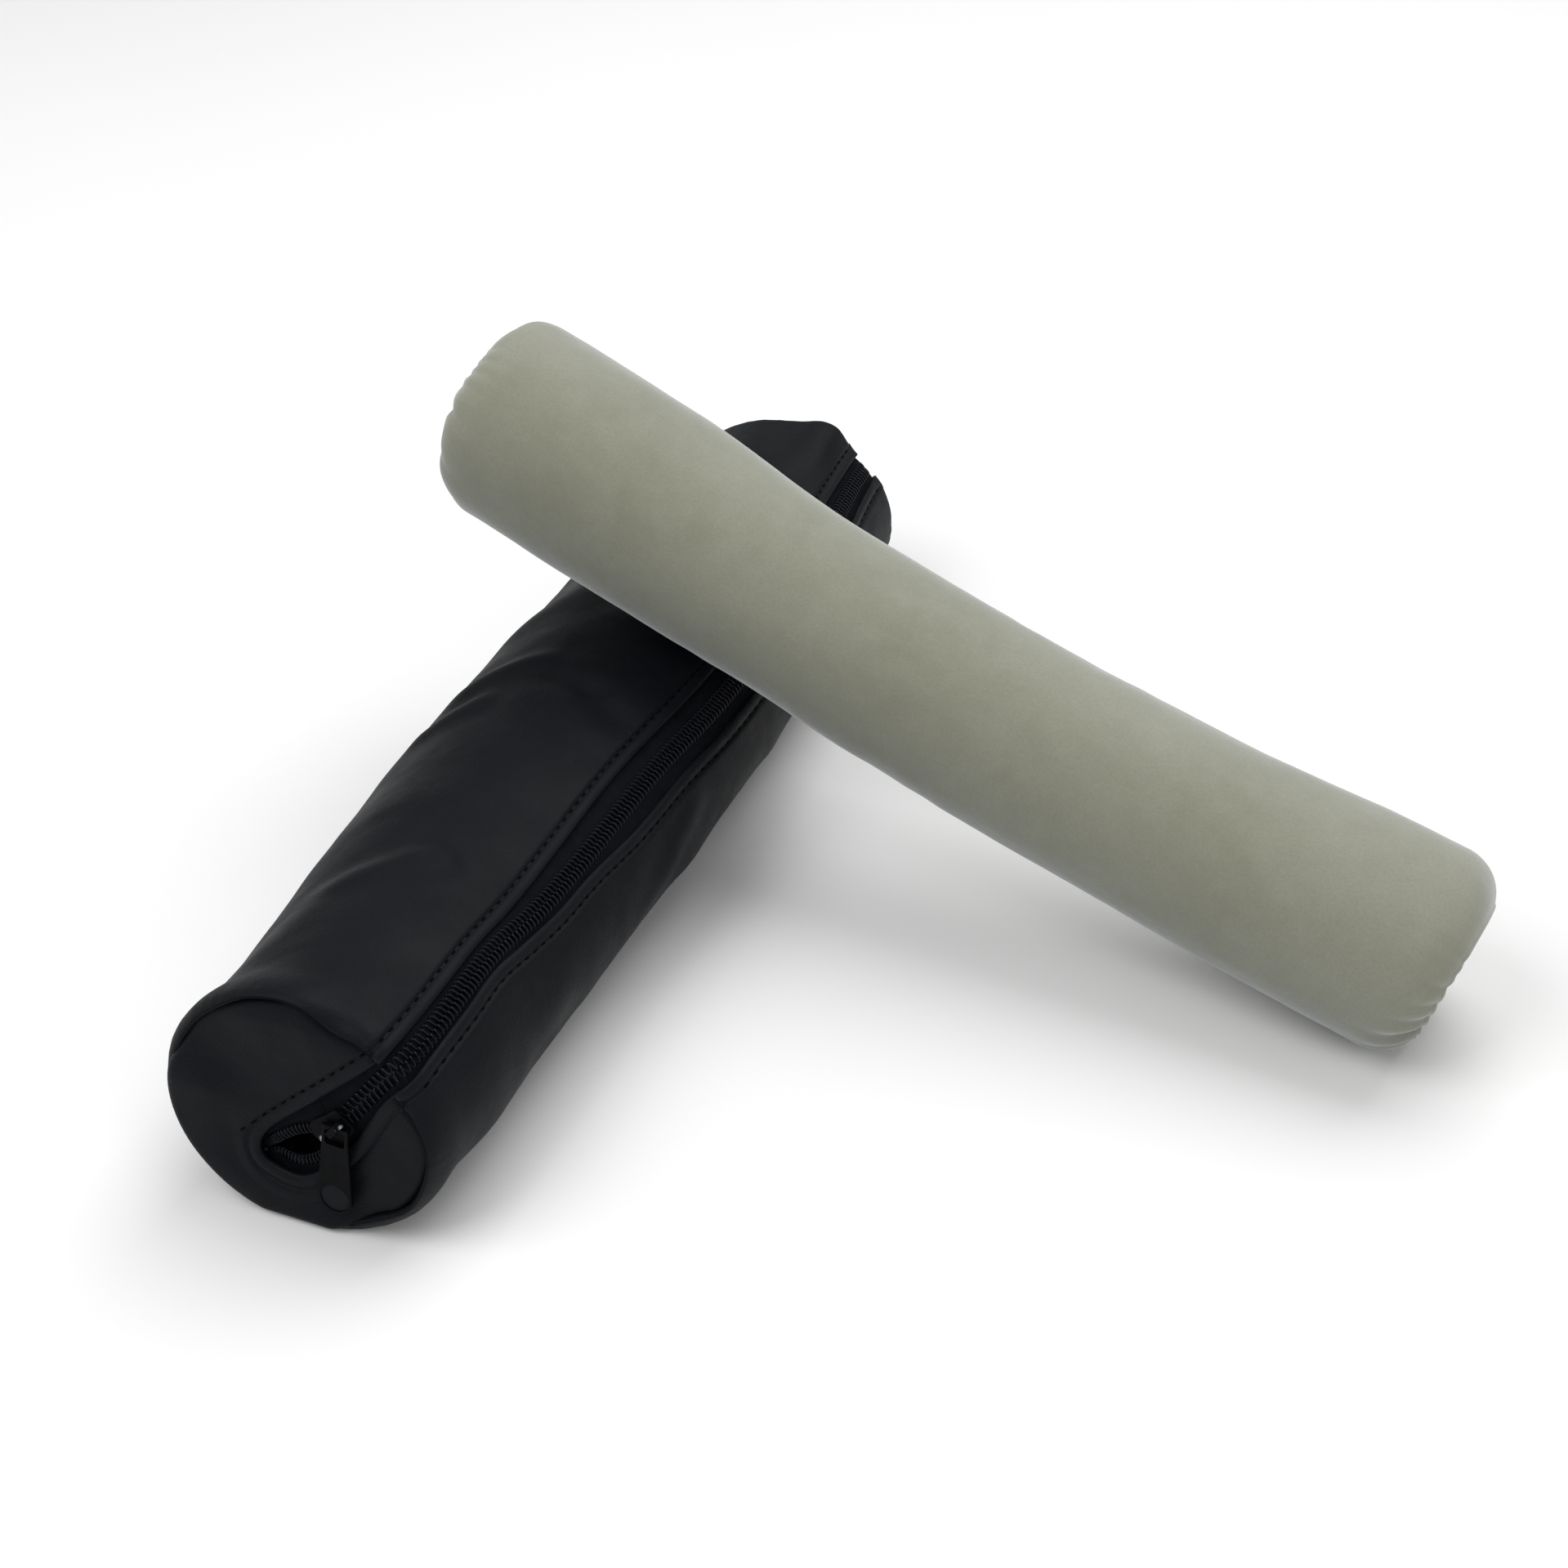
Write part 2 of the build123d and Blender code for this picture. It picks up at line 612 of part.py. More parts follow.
export_step(slider_pull.part, "parts/slider_pull.step")
export_step(velvet_sleeve.part, "parts/velvet_sleeve.step")
export_step(left_end_disc.part, "parts/left_end_disc.step")
export_step(right_end_disc.part, "parts/right_end_disc.step")
export_step(foam_core.part, "parts/foam_core.step")

print("slider centre", slider_origin, "axis", slider_axis)
print("pull pivot", pivot, "axis", pull_across * -1)
print("roll length", roll_length)
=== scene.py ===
import bpy
import math
import numpy as np
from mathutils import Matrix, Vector
from mathutils.bvhtree import BVHTree


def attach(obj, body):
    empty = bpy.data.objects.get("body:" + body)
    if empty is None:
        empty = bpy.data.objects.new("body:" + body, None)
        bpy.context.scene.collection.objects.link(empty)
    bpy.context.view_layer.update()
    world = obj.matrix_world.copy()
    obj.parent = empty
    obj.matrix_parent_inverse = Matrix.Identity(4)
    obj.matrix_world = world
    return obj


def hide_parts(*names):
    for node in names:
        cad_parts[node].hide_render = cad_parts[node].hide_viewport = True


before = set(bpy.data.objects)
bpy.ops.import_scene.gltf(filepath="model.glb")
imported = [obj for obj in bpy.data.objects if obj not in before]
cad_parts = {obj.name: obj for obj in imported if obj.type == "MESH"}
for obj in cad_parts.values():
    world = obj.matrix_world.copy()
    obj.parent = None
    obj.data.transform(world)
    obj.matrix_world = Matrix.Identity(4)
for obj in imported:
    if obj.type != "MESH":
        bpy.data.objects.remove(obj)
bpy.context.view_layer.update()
MM = 0.001

# ================================================================ shared dimensions (mm)
SECTIONS = np.array([
    (-172.0, 35.0, 35.6, 61.7), (-160.0, 35.1, 36.6, 61.7), (-146.0, 35.2, 40.2, 61.6),
    (-115.0, 36.9, 41.7, 60.2), (-85.0, 40.5, 41.6, 58.8), (-50.0, 43.6, 42.2, 58.2),
    (-10.0, 43.8, 44.2, 59.5), (35.0, 41.6, 44.6, 61.5), (80.0, 39.4, 43.0, 61.5),
    (120.0, 37.5, 40.0, 61.3), (158.0, 36.0, 36.6, 61.5), (170.0, 35.8, 36.0, 61.5),
])
DIP = 1.2
TILT = math.radians(8.18)
FRONT_Y = -164.4
REAR_Y = 158.5
TAN = math.tan(TILT)
FRONT_N = np.array([0.0, -math.cos(TILT), math.sin(TILT)])
REAR_N = np.array([0.0, 1.0, 0.0])
RIM = np.array([26.5, 49.9])
QD = np.array([0.7324, 0.6811])
UD = np.array([-0.6811, 0.7324])

CHAIN = [(-175, 0), (-156, 0.05), (-148, -0.45), (-139, -0.4), (-130, -0.25), (-121, -0.1),
    (-112, -0.45), (-105, -1.05), (-97, -2.3), (-87, -3.5), (-75, -4.25), (-60, -4.7),
    (-42, -4.85), (-22, -5.0), (-6, -5.9), (8, -6.9), (28, -7.5), (52, -7.2), (85, -5.3),
    (120, -2.4), (150, -0.1), (172, 0)]
SLIT_L = [(-175, 3.9), (-157, 3.8), (-148, 3.65), (-138, 3.6), (-127, 3.6), (-118, 3.45), (-110, 3.2),
    (-102, 2.6), (-90, 2.0), (-75, 1.85), (-58, 1.95), (-42, 2.15), (-25, 1.9), (-8, 1.0),
    (12, -0.1), (38, -0.5), (70, 0.4), (110, 2.5), (140, 4.1), (153, 4.6), (172, 4.6)]
SLIT_R = [(-175, -4.6), (-158, -4.7), (-150, -4.1), (-140, -3.65), (-128, -3.5), (-118, -3.3),
    (-111, -3.75), (-104, -4.9), (-94, -6.4), (-84, -7.6), (-73, -8.15), (-61, -9.1),
    (-49, -10.5), (-36, -11.3), (-21, -11.6), (-8, -12.2), (3, -13.1), (22, -14.0), (45, -13.8),
    (80, -11.9), (115, -8.7), (140, -5.7), (153, -4.6), (172, -4.6)]
FRONT_SLOT = [(9, 3.85), (4, 3.8), (0, 3.8), (-7, 3.75), (-14.7, 3.75), (-22, 3.85), (-30, 4.1),
              (-37, 4.2), (-43, 3.9), (-47.0, 2.2), (-48.4, -0.6), (-47.6, -3.2),
              (-45.6, -6.4), (-42.8, -9.3), (-38.2, -10.8), (-30, -10.9), (-22, -9.3),
              (-15.5, -7.3), (-11.5, -6.0), (-7.5, -4.9), (-3, -4.5), (3, -4.6), (9, -4.6)]
REAR_SLOT = [(9, 4.6), (4, 4.6), (-10, 4.6), (-25, 4.6), (-38, 4.6), (-42.4, 4.6),
             (-45.7, 3.2), (-47, 0), (-45.7, -3.2), (-42.4, -4.6), (-38, -4.6),
             (-25, -4.6), (-10, -4.6), (4, -4.6), (9, -4.6)]
PAIR = 1.43
FRONT_COIL_L = [(9, PAIR), (-1.5, PAIR), (-11.5, -0.37), (-21.5, -2.17), (-25.5, -2.27),
                (-29.0, -1.85), (-32.5, -0.1), (-36, 1.05), (-41, 1.4), (-53, 1.3)]
FRONT_COIL_R = [(9, -PAIR), (-1.5, -PAIR), (-11.5, -3.23), (-21.5, -5.03), (-25.5, -6.27),
                (-29.5, -7.88), (-33, -8.4), (-37, -8.3), (-41, -6.9), (-44.5, -3.9),
                (-47, -1.9), (-53, -1.7)]


# ================================================================ small maths
def spline(points, x):
    """Natural cubic through (x, y) points."""
    points = sorted(points)
    px = np.array([p[0] for p in points], float)
    py = np.array([p[1] for p in points], float)
    x = np.asarray(x, float)
    n = len(px)
    h = np.diff(px)
    d = np.diff(py) / h
    a = np.zeros((n, n))
    r = np.zeros(n)
    a[0, 0] = a[-1, -1] = 1
    for i in range(1, n - 1):
        a[i, i - 1], a[i, i], a[i, i + 1] = h[i - 1], 2 * (h[i - 1] + h[i]), h[i]
        r[i] = 6 * (d[i] - d[i - 1])
    m = np.linalg.solve(a, r)
    k = np.clip(np.searchsorted(px, x) - 1, 0, n - 2)
    t, hk = x - px[k], h[k]
    return py[k] + t * (d[k] - hk * (2 * m[k] + m[k + 1]) / 6) + t * t * m[k] / 2 + t ** 3 * (m[k + 1] - m[k]) / (6 * hk)


def smooth01(x):
    x = np.clip(x, 0, 1)
    return x * x * (3 - 2 * x)


def lattice(ix, iy, iz, seed):
    n = (ix * 374761393 + iy * 668265263 + iz * 1440662683 + seed * 1274126177) & 0xFFFFFFFF
    n = ((n ^ (n >> 13)) * 1274126177) & 0xFFFFFFFF
    n = ((n ^ (n >> 15)) * 2246822519) & 0xFFFFFFFF
    return ((n ^ (n >> 16)) & 0xFFFF) / 65535.0 * 2 - 1


def noise(x, y, z, seed=0):
    """Smooth value noise, -1 to 1."""
    x, y, z = np.broadcast_arrays(np.asarray(x, float), np.asarray(y, float), np.asarray(z, float))
    ix, iy, iz = np.floor(x).astype(np.int64), np.floor(y).astype(np.int64), np.floor(z).astype(np.int64)
    fx, fy, fz = x - ix, y - iy, z - iz
    fx, fy, fz = (f * f * f * (f * (f * 6 - 15) + 10) for f in (fx, fy, fz))
    out = 0
    for dx in (0, 1):
        for dy in (0, 1):
            for dz in (0, 1):
                w = (fx if dx else 1 - fx) * (fy if dy else 1 - fy) * (fz if dz else 1 - fz)
                out = out + w * lattice(ix + dx, iy + dy, iz + dz, seed)
    return out


def fractal(x, y, z, seed=0, octaves=3):
    total, size = 0, 1.0
    for i in range(octaves):
        total = total + size * noise(x * 2 ** i, y * 2 ** i, z * 2 ** i, seed + i)
        size *= 0.5
    return total


def unit(v):
    return v / np.maximum(np.linalg.norm(v, axis=-1, keepdims=True), 1e-12)


def blur_rows(a, sigma):
    """Gaussian blur along axis 0 with the ends held."""
    n = int(math.ceil(sigma * 3))
    k = np.exp(-0.5 * (np.arange(-n, n + 1) / sigma) ** 2)
    k /= k.sum()
    first = 2 * a[:1] - a[1:n + 1][::-1]
    last = 2 * a[-1:] - a[-n - 1:-1][::-1]
    wide = np.concatenate([first, a, last])
    out = np.zeros_like(a)
    for i, w in enumerate(k):
        out += w * wide[i:i + len(a)]
    return out


def resample(path, step, extra=None):
    """Points along a polyline at even steps."""
    d = np.concatenate([[0], np.cumsum(np.linalg.norm(np.diff(path, axis=0), axis=1))])
    n = max(2, int(round(d[-1] / step)) + 1)
    s = np.linspace(0, d[-1], n)
    pick = lambda a: np.stack([np.interp(s, d, a[:, i]) for i in range(a.shape[1])], 1)
    if extra is None:
        return pick(path), s
    return pick(path), s, pick(extra)


# ================================================================ pouch form
def section(y):
    l, r, h = (spline(list(zip(SECTIONS[:, 0], SECTIONS[:, i])), y) for i in (1, 2, 3))
    b = (h + DIP) / 2
    return (l + r) / 2, (r - l) / 2, b, h - b


def surf(y, t, depth):
    """Point of the pouch's form, drawn in by depth, at y and section angle t."""
    a, cx, b, zc = section(y)
    ct, st = np.cos(t), np.sin(t)
    nx, nz = ct / a, st / b
    ln = np.hypot(nx, nz)
    x = cx + a * ct - depth * nx / ln
    z = zc + b * st - depth * nz / ln
    z = np.maximum(z, depth)
    return np.stack(np.broadcast_arrays(x, y, z), -1)


def angle_at(y, u):
    """Section angle near the zipper where the form's across coordinate is u."""
    a, cx, b, zc = section(y)
    c = (cx - RIM[0]) * UD[0] + (zc - RIM[1]) * UD[1]
    ax, bx = a * UD[0], b * UD[1]
    r, phi = np.hypot(ax, bx), np.arctan2(bx, ax)
    return phi - np.arccos(np.clip((u - c) / r, -1, 1))


def front_y(z):
    return FRONT_Y + z * TAN


def metric(y, t):
    a, _, b, _ = section(y)
    return np.sqrt((a * np.sin(t)) ** 2 + (b * np.cos(t)) ** 2)


# how far the body's leather wraps over the end before it meets the seam (t in degrees)
WRAP = [(-90, 0.8), (-79, 0.9), (-66, 1.4), (-50, 1.9), (-27, -0.2), (-14, -0.4), (2, 0.5),
        (19, 1.9), (34, 2.5), (44, 1.2), (50, 0.1), (57.5, 0.4), (73, 1.8), (83, 0.4),
        (93, -0.6), (105, -0.6), (115, 0.1), (134, 0.8), (165, 0.5), (200, 0.6),
        (240, 0.8), (270, 0.8)]


# how far the seam and the rim stand out past the plain section (t in degrees)
STAND = [(-90, 0.4), (-60, 0.8), (-30, 0.8), (0, 0.3), (20, 0.0), (50, 0.0), (66, 0.0), (78, 0.3),
         (93, 1.5), (106, 1.5), (120, 1.0), (140, 0.7), (165, 0.7), (200, 0.6), (240, 0.3), (270, 0.3)]
# extra roundness of the body's leather behind the seam
RIM_PUFF = [(-90, 0.5), (-60, 2.0), (-30, 1.9), (10, 0.8), (45, 0.3), (66, 0.2), (90, 0.3), (115, 0.8),
            (140, 1.1), (165, 1.1), (190, 0.9), (230, 0.7), (270, 0.5)]


def stand_of(t):
    deg = (np.degrees(t) + 90) % 360 - 90
    return spline(STAND, deg)


def puff_of(t):
    deg = (np.degrees(t) + 90) % 360 - 90
    return spline(RIM_PUFF, deg)


def wrap_of(t):
    deg = (np.degrees(t) + 90) % 360 - 90
    return spline(WRAP, deg)


def seam_out(t):
    """Where the front seam lies nearer to the outline (mm)."""
    deg = (np.degrees(t) + 90) % 360 - 90
    top = smooth01((deg - 78) / 22.0) * smooth01((162 - deg) / 26.0)
    right = smooth01((deg + 62) / 28.0) * smooth01((34 - deg) / 30.0)
    return 1.9 * top + 1.8 * right


def rear_swell(t):
    """The leather's swelling at the rear rim, left of the zipper (mm)."""
    deg = (np.degrees(t) + 90) % 360 - 90
    return 4.3 * np.exp(-((deg - 68) / 14.0) ** 2) * (0.4 + 0.6 * smooth01((deg - 52) / 14.0))


# ================================================================ meshes
def make_mesh(name, verts, faces, smooth=True, uv=None):
    """verts in mm."""
    me = bpy.data.meshes.new(name)
    me.from_pydata((np.asarray(verts, float) * MM).tolist(), [], faces if isinstance(faces, list) else faces.tolist())
    me.validate()
    me.update()
    if smooth:
        me.polygons.foreach_set("use_smooth", np.ones(len(me.polygons), bool))
    if uv is not None:
        layer = me.uv_layers.new(name="along")
        idx = np.zeros(len(me.loops), np.int32)
        me.loops.foreach_get("vertex_index", idx)
        layer.data.foreach_set("uv", np.asarray(uv, np.float32)[idx].ravel())
    o = bpy.data.objects.new(name, me)
    bpy.context.scene.collection.objects.link(o)
    return o


def grid_faces(rows, cols, start=0, wrap=False, flip=False):
    i = np.arange(rows - 1)[:, None]
    j = np.arange(cols if wrap else cols - 1)[None, :]
    j2 = (j + 1) % cols
    q = np.stack(np.broadcast_arrays(i * cols + j, i * cols + j2, (i + 1) * cols + j2, (i + 1) * cols + j), -1).reshape(-1, 4) + start
    return q[:, ::-1] if flip else q


def attribute(o, name, values):
    a = o.data.attributes.new(name, "FLOAT", "POINT")
    a.data.foreach_set("value", np.asarray(values, np.float32).ravel())


def solidify(o, thickness, offset=-1):
    m = o.modifiers.new("thickness", "SOLIDIFY")
    m.thickness = thickness * MM
    m.offset = offset
    m.use_rim = True
    m.use_quality_normals = True
    return m


def grid_normals(p, sign=1):
    du = np.gradient(p, axis=0)
    dv = np.gradient(p, axis=1)
    return unit(np.cross(du, dv)) * sign


# profile of a turned and topstitched leather edge: (distance from the edge, height)
LIP_UNDER = [(5.0, -1.36), (3.5, -1.36), (1.9, -1.36), (1.0, -1.30), (0.6, -1.18), (0.3, -0.98), (0.08, -0.68)]
LIP_TOP = [(0.0, -0.32), (0.05, -0.02), (0.22, 0.20), (0.5, 0.36), (0.85, 0.44), (1.3, 0.47), (1.8, 0.43),
           (2.3, 0.31), (2.7, 0.12), (3.05, -0.14), (3.35, -0.40), (3.65, -0.40), (4.0, -0.12),
           (4.4, 0.09), (5.0, 0.13), (5.8, 0.09), (6.8, 0.03)]
EDGE_IN = 8.0


# ================================================================ body leather
def creases(y, s, t):
    """Soft folds of the body leather: y along, s mm of arc from the zipper's middle, t section angle."""
    w = np.zeros(np.broadcast(y, s).shape)
    for (y0, s0, y1, s1, width, amp) in FOLDS:
        d = np.array([y1 - y0, s1 - s0], float)
        ln = np.hypot(*d)
        d /= ln
        ry, rs = y - y0, s - s0
        along = (ry * d[0] + rs * d[1]) / ln
        across = -ry * d[1] + rs * d[0]
        across = across + 2.2 * noise(along * 2.3, width, y0 * 0.1, 11)
        fade = smooth01((along + 0.12) / 0.35) * smooth01((1.12 - along) / 0.35)
        x = across / width
        w += amp * fade * (np.exp(-x * x) - 0.45 * np.exp(-((x - 1.7) / 1.2) ** 2) - 0.35 * np.exp(-((x + 1.8) / 1.3) ** 2))
    w += 0.46 * fractal(y / 38.0, s / 27.0 + y / 60.0, 0.3, 5, 2)
    w += 0.11 * fractal(y / 11.0 + s / 17.0, s / 13.0, 2.1, 9, 2)
    low = smooth01((np.sin(t) + 1.02) / 0.35)
    return w * low


# soft folds: start y, start arc, end y, end arc, half width, height (a negative one is a hollow)
FOLDS = [
    (-12, 70, 6, 42, 4.2, 1.05), (-33, 70, -14, 50, 4.2, 1.0), (-4, 42, -8, 24, 4.8, -1.05),
    (-6, 32, -17, 9, 5.0, -0.85), (-84, 34, -94, 22, 3.0, -0.7), (-112, 50, -86, 29, 4.6, 0.85),
    (-76, 62, -60, 34, 6.5, 0.40), (-140, 60, -112, 50, 6.0, 0.45), (-56, -34, -12, -14, 4.6, 0.7),
    (-124, -34, -90, -22, 6.5, 0.45), (-60, 92, -30, 66, 7.0, 0.55), (20, 84, 52, 40, 6.5, 0.7),
    (60, 80, 92, 40, 6.0, 0.6), (112, 70, 138, 40, 6.0, 0.5), (-30, -30, 4, -58, 7.0, 0.5),
    (30, -28, 66, -60, 6.5, 0.6), (84, -24, 116, -52, 6.0, 0.5), (-100, -48, -60, -66, 7.0, 0.45),
    (-60, 118, -20, 92, 7.0, 0.7), (40, 120, 84, 90, 7.0, 0.7), (-130, 104, -96, 86, 6.0, 0.5),
]


def build_body():
    fine = 0.9
    # rows: front nose, middle, rear nose; each as (kind, value)
    n_mid = int(round((REAR_Y - FRONT_Y - 2 * EDGE_IN) / 1.25))
    e_top = [e for e, _ in LIP_TOP]
    n_cols = 215
    base_e = e_top[:]  # columns by distance from the left edge
    lip_n = len(e_top)

    rows = []
    for d in (3.4, 2.2, 1.2):
        rows.append(("in", d))
    for psi in (60, 30):
        rows.append(("turn", psi))
    for phi in (90, 78, 66, 54, 43, 32, 21, 10):
        rows.append(("nose", phi))
    for k in range(5):
        rows.append(("flat", k / 5))
    front_rows = rows
    mid = [("mid", k / n_mid) for k in range(n_mid + 1)]
    rear_rows = [(k, v) for k, v in reversed(rows)]
    spec = [("f",) + r for r in front_rows] + [("m",) + r for r in mid] + [("r",) + r for r in rear_rows]

    # angle grid needs y, and y needs z, so iterate
    cols = np.linspace(0, 1, n_cols)
    total_cols = 2 * lip_n + n_cols
    R = len(spec)
    Y = np.zeros((R, total_cols))
    for i, (part, kind, v) in enumerate(spec):
        Y[i] = FRONT_Y + 8 if part == "f" else REAR_Y if part == "r" else FRONT_Y + EDGE_IN + v * (REAR_Y - FRONT_Y - 2 * EDGE_IN)
    depth = np.zeros((R, total_cols))
    T = np.zeros((R, total_cols))
    for _ in range(4):
        for i in range(R):
            y_edge_l = Y[i, 0]
            y_edge_r = Y[i, -1]
            tl = angle_at(y_edge_l, spline(SLIT_L, y_edge_l))
            tr = angle_at(y_edge_r, spline(SLIT_R, y_edge_r)) + 2 * math.pi
            ml, mr = metric(y_edge_l, tl), metric(y_edge_r, tr)
            left = tl + np.array(e_top) / ml
            right = tr - np.array(e_top)[::-1] / mr
            inner = left[-1] + (right[0] - left[-1]) * (cols * (n_cols - 1) + 1) / (n_cols + 1)
            T[i] = np.concatenate([left, inner, right])
        z = surf(Y, T, 0.0)[..., 2]
        yf = front_y(z)
        wrap = wrap_of(T[0])[None, :]
        thin = seam_out(T[0])[None, :]
        ar = 1.75 + np.maximum(wrap, 0.0) - 0.45 * thin
        ay = 2.7 + 1.1 * np.maximum(wrap, 0.0) - 0.3 * thin
        for i, (part, kind, v) in enumerate(spec):
            if kind == "mid":
                y0 = yf[i] + EDGE_IN
                Y[i] = y0 + v * (REAR_Y - EDGE_IN - y0)
                depth[i] = 0
                continue
            arr = ar[0] if part == "f" else np.full(total_cols, 1.45)
            ayy = ay[0] if part == "f" else np.full(total_cols, 1.9)
            if kind == "flat":
                dist = ayy + (EDGE_IN - ayy) * v
                dep = np.zeros(total_cols)
            elif kind == "nose":
                p = math.radians(v)
                dist = ayy * (1 - math.sin(p)) - 0.45 * math.sin(p)
                dep = arr * (1 - math.cos(p))
            elif kind == "turn":
                p = math.radians(90 - v)
                dist = -0.45 + 0.75 * (1 - math.cos(p))
                dep = arr + 0.6 * math.sin(p)
            else:
                dist = np.full(total_cols, -0.45 + 0.75 + v - 0.6)
                dep = arr + 0.66
            depth[i] = dep
            Y[i] = yf[i] + dist if part == "f" else REAR_Y - dist
    # arc from the zipper's middle, signed, for the creases
    y_mid = Y
    t_zip = angle_at(y_mid, spline(CHAIN, y_mid))
    s = (T - t_zip) * 37.5
    s_signed = np.where(T - t_zip > math.pi * 1.08, (T - t_zip - 2 * math.pi) * 37.5, s)
    w = creases(y_mid, s_signed, T)
    # quiet beside the stitched edges and at the seams
    col_edge = np.minimum(np.abs(T - T[:, :1]), np.abs(T[:, -1:] - T)) * 37.5
    w = w * (0.25 + 0.75 * smooth01((col_edge - 3.0) / 9.0))
    d_front = Y - front_y(surf(Y, T, 0.0)[..., 2])
    d_rear = REAR_Y - Y
    near_end = np.minimum(d_front, d_rear)
    w = w * (0.12 + 0.88 * smooth01((near_end - 1.0) / 14.0))
    # the end rim bulges and dips a little with the seam
    w = w + stand_of(T) * np.exp(-(np.maximum(d_front, 0) / 11.0) ** 2)
    w = w + puff_of(T) * np.exp(-((np.maximum(d_front, 0) - 5.5) / 6.0) ** 2)
    w = w - 0.55 * np.exp(-((np.degrees(T) - 73) / 9.0) ** 2) * np.exp(-((d_front - 4) / 6.0) ** 2)
    w = w + rear_swell(T) * np.exp(-(np.maximum(d_rear, 0) / 20.0) ** 2)
    # shallow puckers pulled by the seams
    w = w + 0.16 * np.exp(-(near_end / 5.0) ** 2) * fractal(T * 9.0, Y * 0.02, 0.5, 21, 2)
    bottom = surf(Y, T, 0.0)[..., 2] < 0.35
    base = surf(Y, T, depth - w)
    base[..., 2] = np.maximum(base[..., 2], 0.05)
    base[..., 2] = np.where(bottom & (depth < 0.2), np.maximum(base[..., 2], 0.05), base[..., 2])
    N = grid_normals(base, 1)
    # outward check: away from the section's middle
    a, cx, b, zc = section(Y)
    mid_p = np.stack([cx, Y, zc], -1)
    m = R // 2
    if np.sum(N[m] * (base[m] - mid_p[m])) < 0:
        N = -N
    # edge waviness of the lips: a gentle rise and fall of the turned edge
    ripple_l = 0.22 * fractal(Y[:, :1] / 16.0, 0.0, 1.7, 31, 2)
    ripple_r = 0.34 * fractal(Y[:, :1] / 13.0, 0.0, 5.7, 37, 2)
    top_h = np.array([h for _, h in LIP_TOP])
    fall = np.exp(-np.array(e_top) / 2.5)
    rear_l = (1 - 0.75 * np.exp(-(np.maximum(d_rear[:, :1], 0) / 6.0) ** 2))
    rear_r = (1 - 0.75 * np.exp(-(np.maximum(d_rear[:, -1:], 0) / 6.0) ** 2))
    high_l = np.where(top_h[None, :] > 0, top_h[None, :] * rear_l, top_h[None, :])
    high_r = np.where(top_h[None, ::-1] > 0, top_h[None, ::-1] * rear_r, top_h[None, ::-1])
    parts, uv_e = [], []
    under_l = []
    for e, h in LIP_UNDER:
        k = np.interp(e, e_top, np.arange(lip_n))
        k0 = int(min(np.floor(k), lip_n - 2))
        f = k - k0
        P = base[:, k0] * (1 - f) + base[:, k0 + 1] * f
        NN = unit(N[:, k0] * (1 - f) + N[:, k0 + 1] * f)
        under_l.append(P + NN * (h + ripple_l * math.exp(-e / 2.5)))
    top_l = base[:, :lip_n] + N[:, :lip_n] * (high_l[..., None] + (ripple_l * fall[None, :])[..., None])
    middle = base[:, lip_n:lip_n + n_cols]
    top_r = base[:, -lip_n:] + N[:, -lip_n:] * (high_r[..., None] + (ripple_r * fall[::-1][None, :])[..., None])
    under_r = []
    last = total_cols - 1
    for e, h in LIP_UNDER[::-1]:
        k = np.interp(e, e_top, np.arange(lip_n))
        k0 = int(min(np.floor(k), lip_n - 2))
        f = k - k0
        P = base[:, last - k0] * (1 - f) + base[:, last - k0 - 1] * f
        NN = unit(N[:, last - k0] * (1 - f) + N[:, last - k0 - 1] * f)
        under_r.append(P + NN * (h + ripple_r * math.exp(-e / 2.5)))
    full = np.concatenate([np.stack(under_l, 1), top_l, middle, top_r, np.stack(under_r, 1)], 1)
    full[..., 2] = np.maximum(full[..., 2], 0.05)
    rows_n, cols_n = full.shape[:2]
    faces = grid_faces(rows_n, cols_n, flip=True)
    o = make_mesh("pouch_body_leather", full.reshape(-1, 3), faces)
    # distance from the turned edge and from the seams, for the finish
    e_all = np.concatenate([[e for e, _ in LIP_UNDER], e_top, np.full(n_cols, 50.0), e_top[::-1], [e for e, _ in LIP_UNDER][::-1]])
    attribute(o, "edge_mm", np.broadcast_to(e_all, (rows_n, cols_n)))
    seam = np.zeros(rows_n)
    for i, (part, kind, v) in enumerate(spec):
        seam[i] = {"in": 0.0, "turn": 0.5, "nose": 1.0 + (90 - v) / 30.0 if kind == "nose" else 0, "flat": 4.0 + v * 4 if kind == "flat" else 0, "mid": 12.0}[kind]
    attribute(o, "seam_mm", np.broadcast_to(seam[:, None], (rows_n, cols_n)))
    return o


# ================================================================ end panels
def outline_points(side, inset, n=720):
    """The end's outline drawn in by inset(t): angles and (x, z)."""
    t = np.linspace(0, 2 * math.pi, n, endpoint=False)
    y = np.full(n, -160.0 if side == "front" else REAR_Y)
    for _ in range(4):
        p = surf(y, t, inset(t))
        if side == "front":
            y = front_y(p[:, 2])
    return t, p[:, [0, 2]]


def qu(points):
    p = np.asarray(points, float)
    return RIM + p[:, :1] * QD + p[:, 1:] * UD


def resample_open(path, step):
    out, _ = resample(path, step)
    return out


def smooth_path(points, step):
    """A smooth curve through points (chord-length cubic), resampled."""
    p = np.asarray(points, float)
    d = np.concatenate([[0], np.cumsum(np.linalg.norm(np.diff(p, axis=0), axis=1))])
    s = np.linspace(0, d[-1], int(d[-1] / 0.1))
    fine = np.stack([spline(list(zip(d, p[:, i])), s) for i in range(p.shape[1])], 1)
    return resample_open(fine, step)


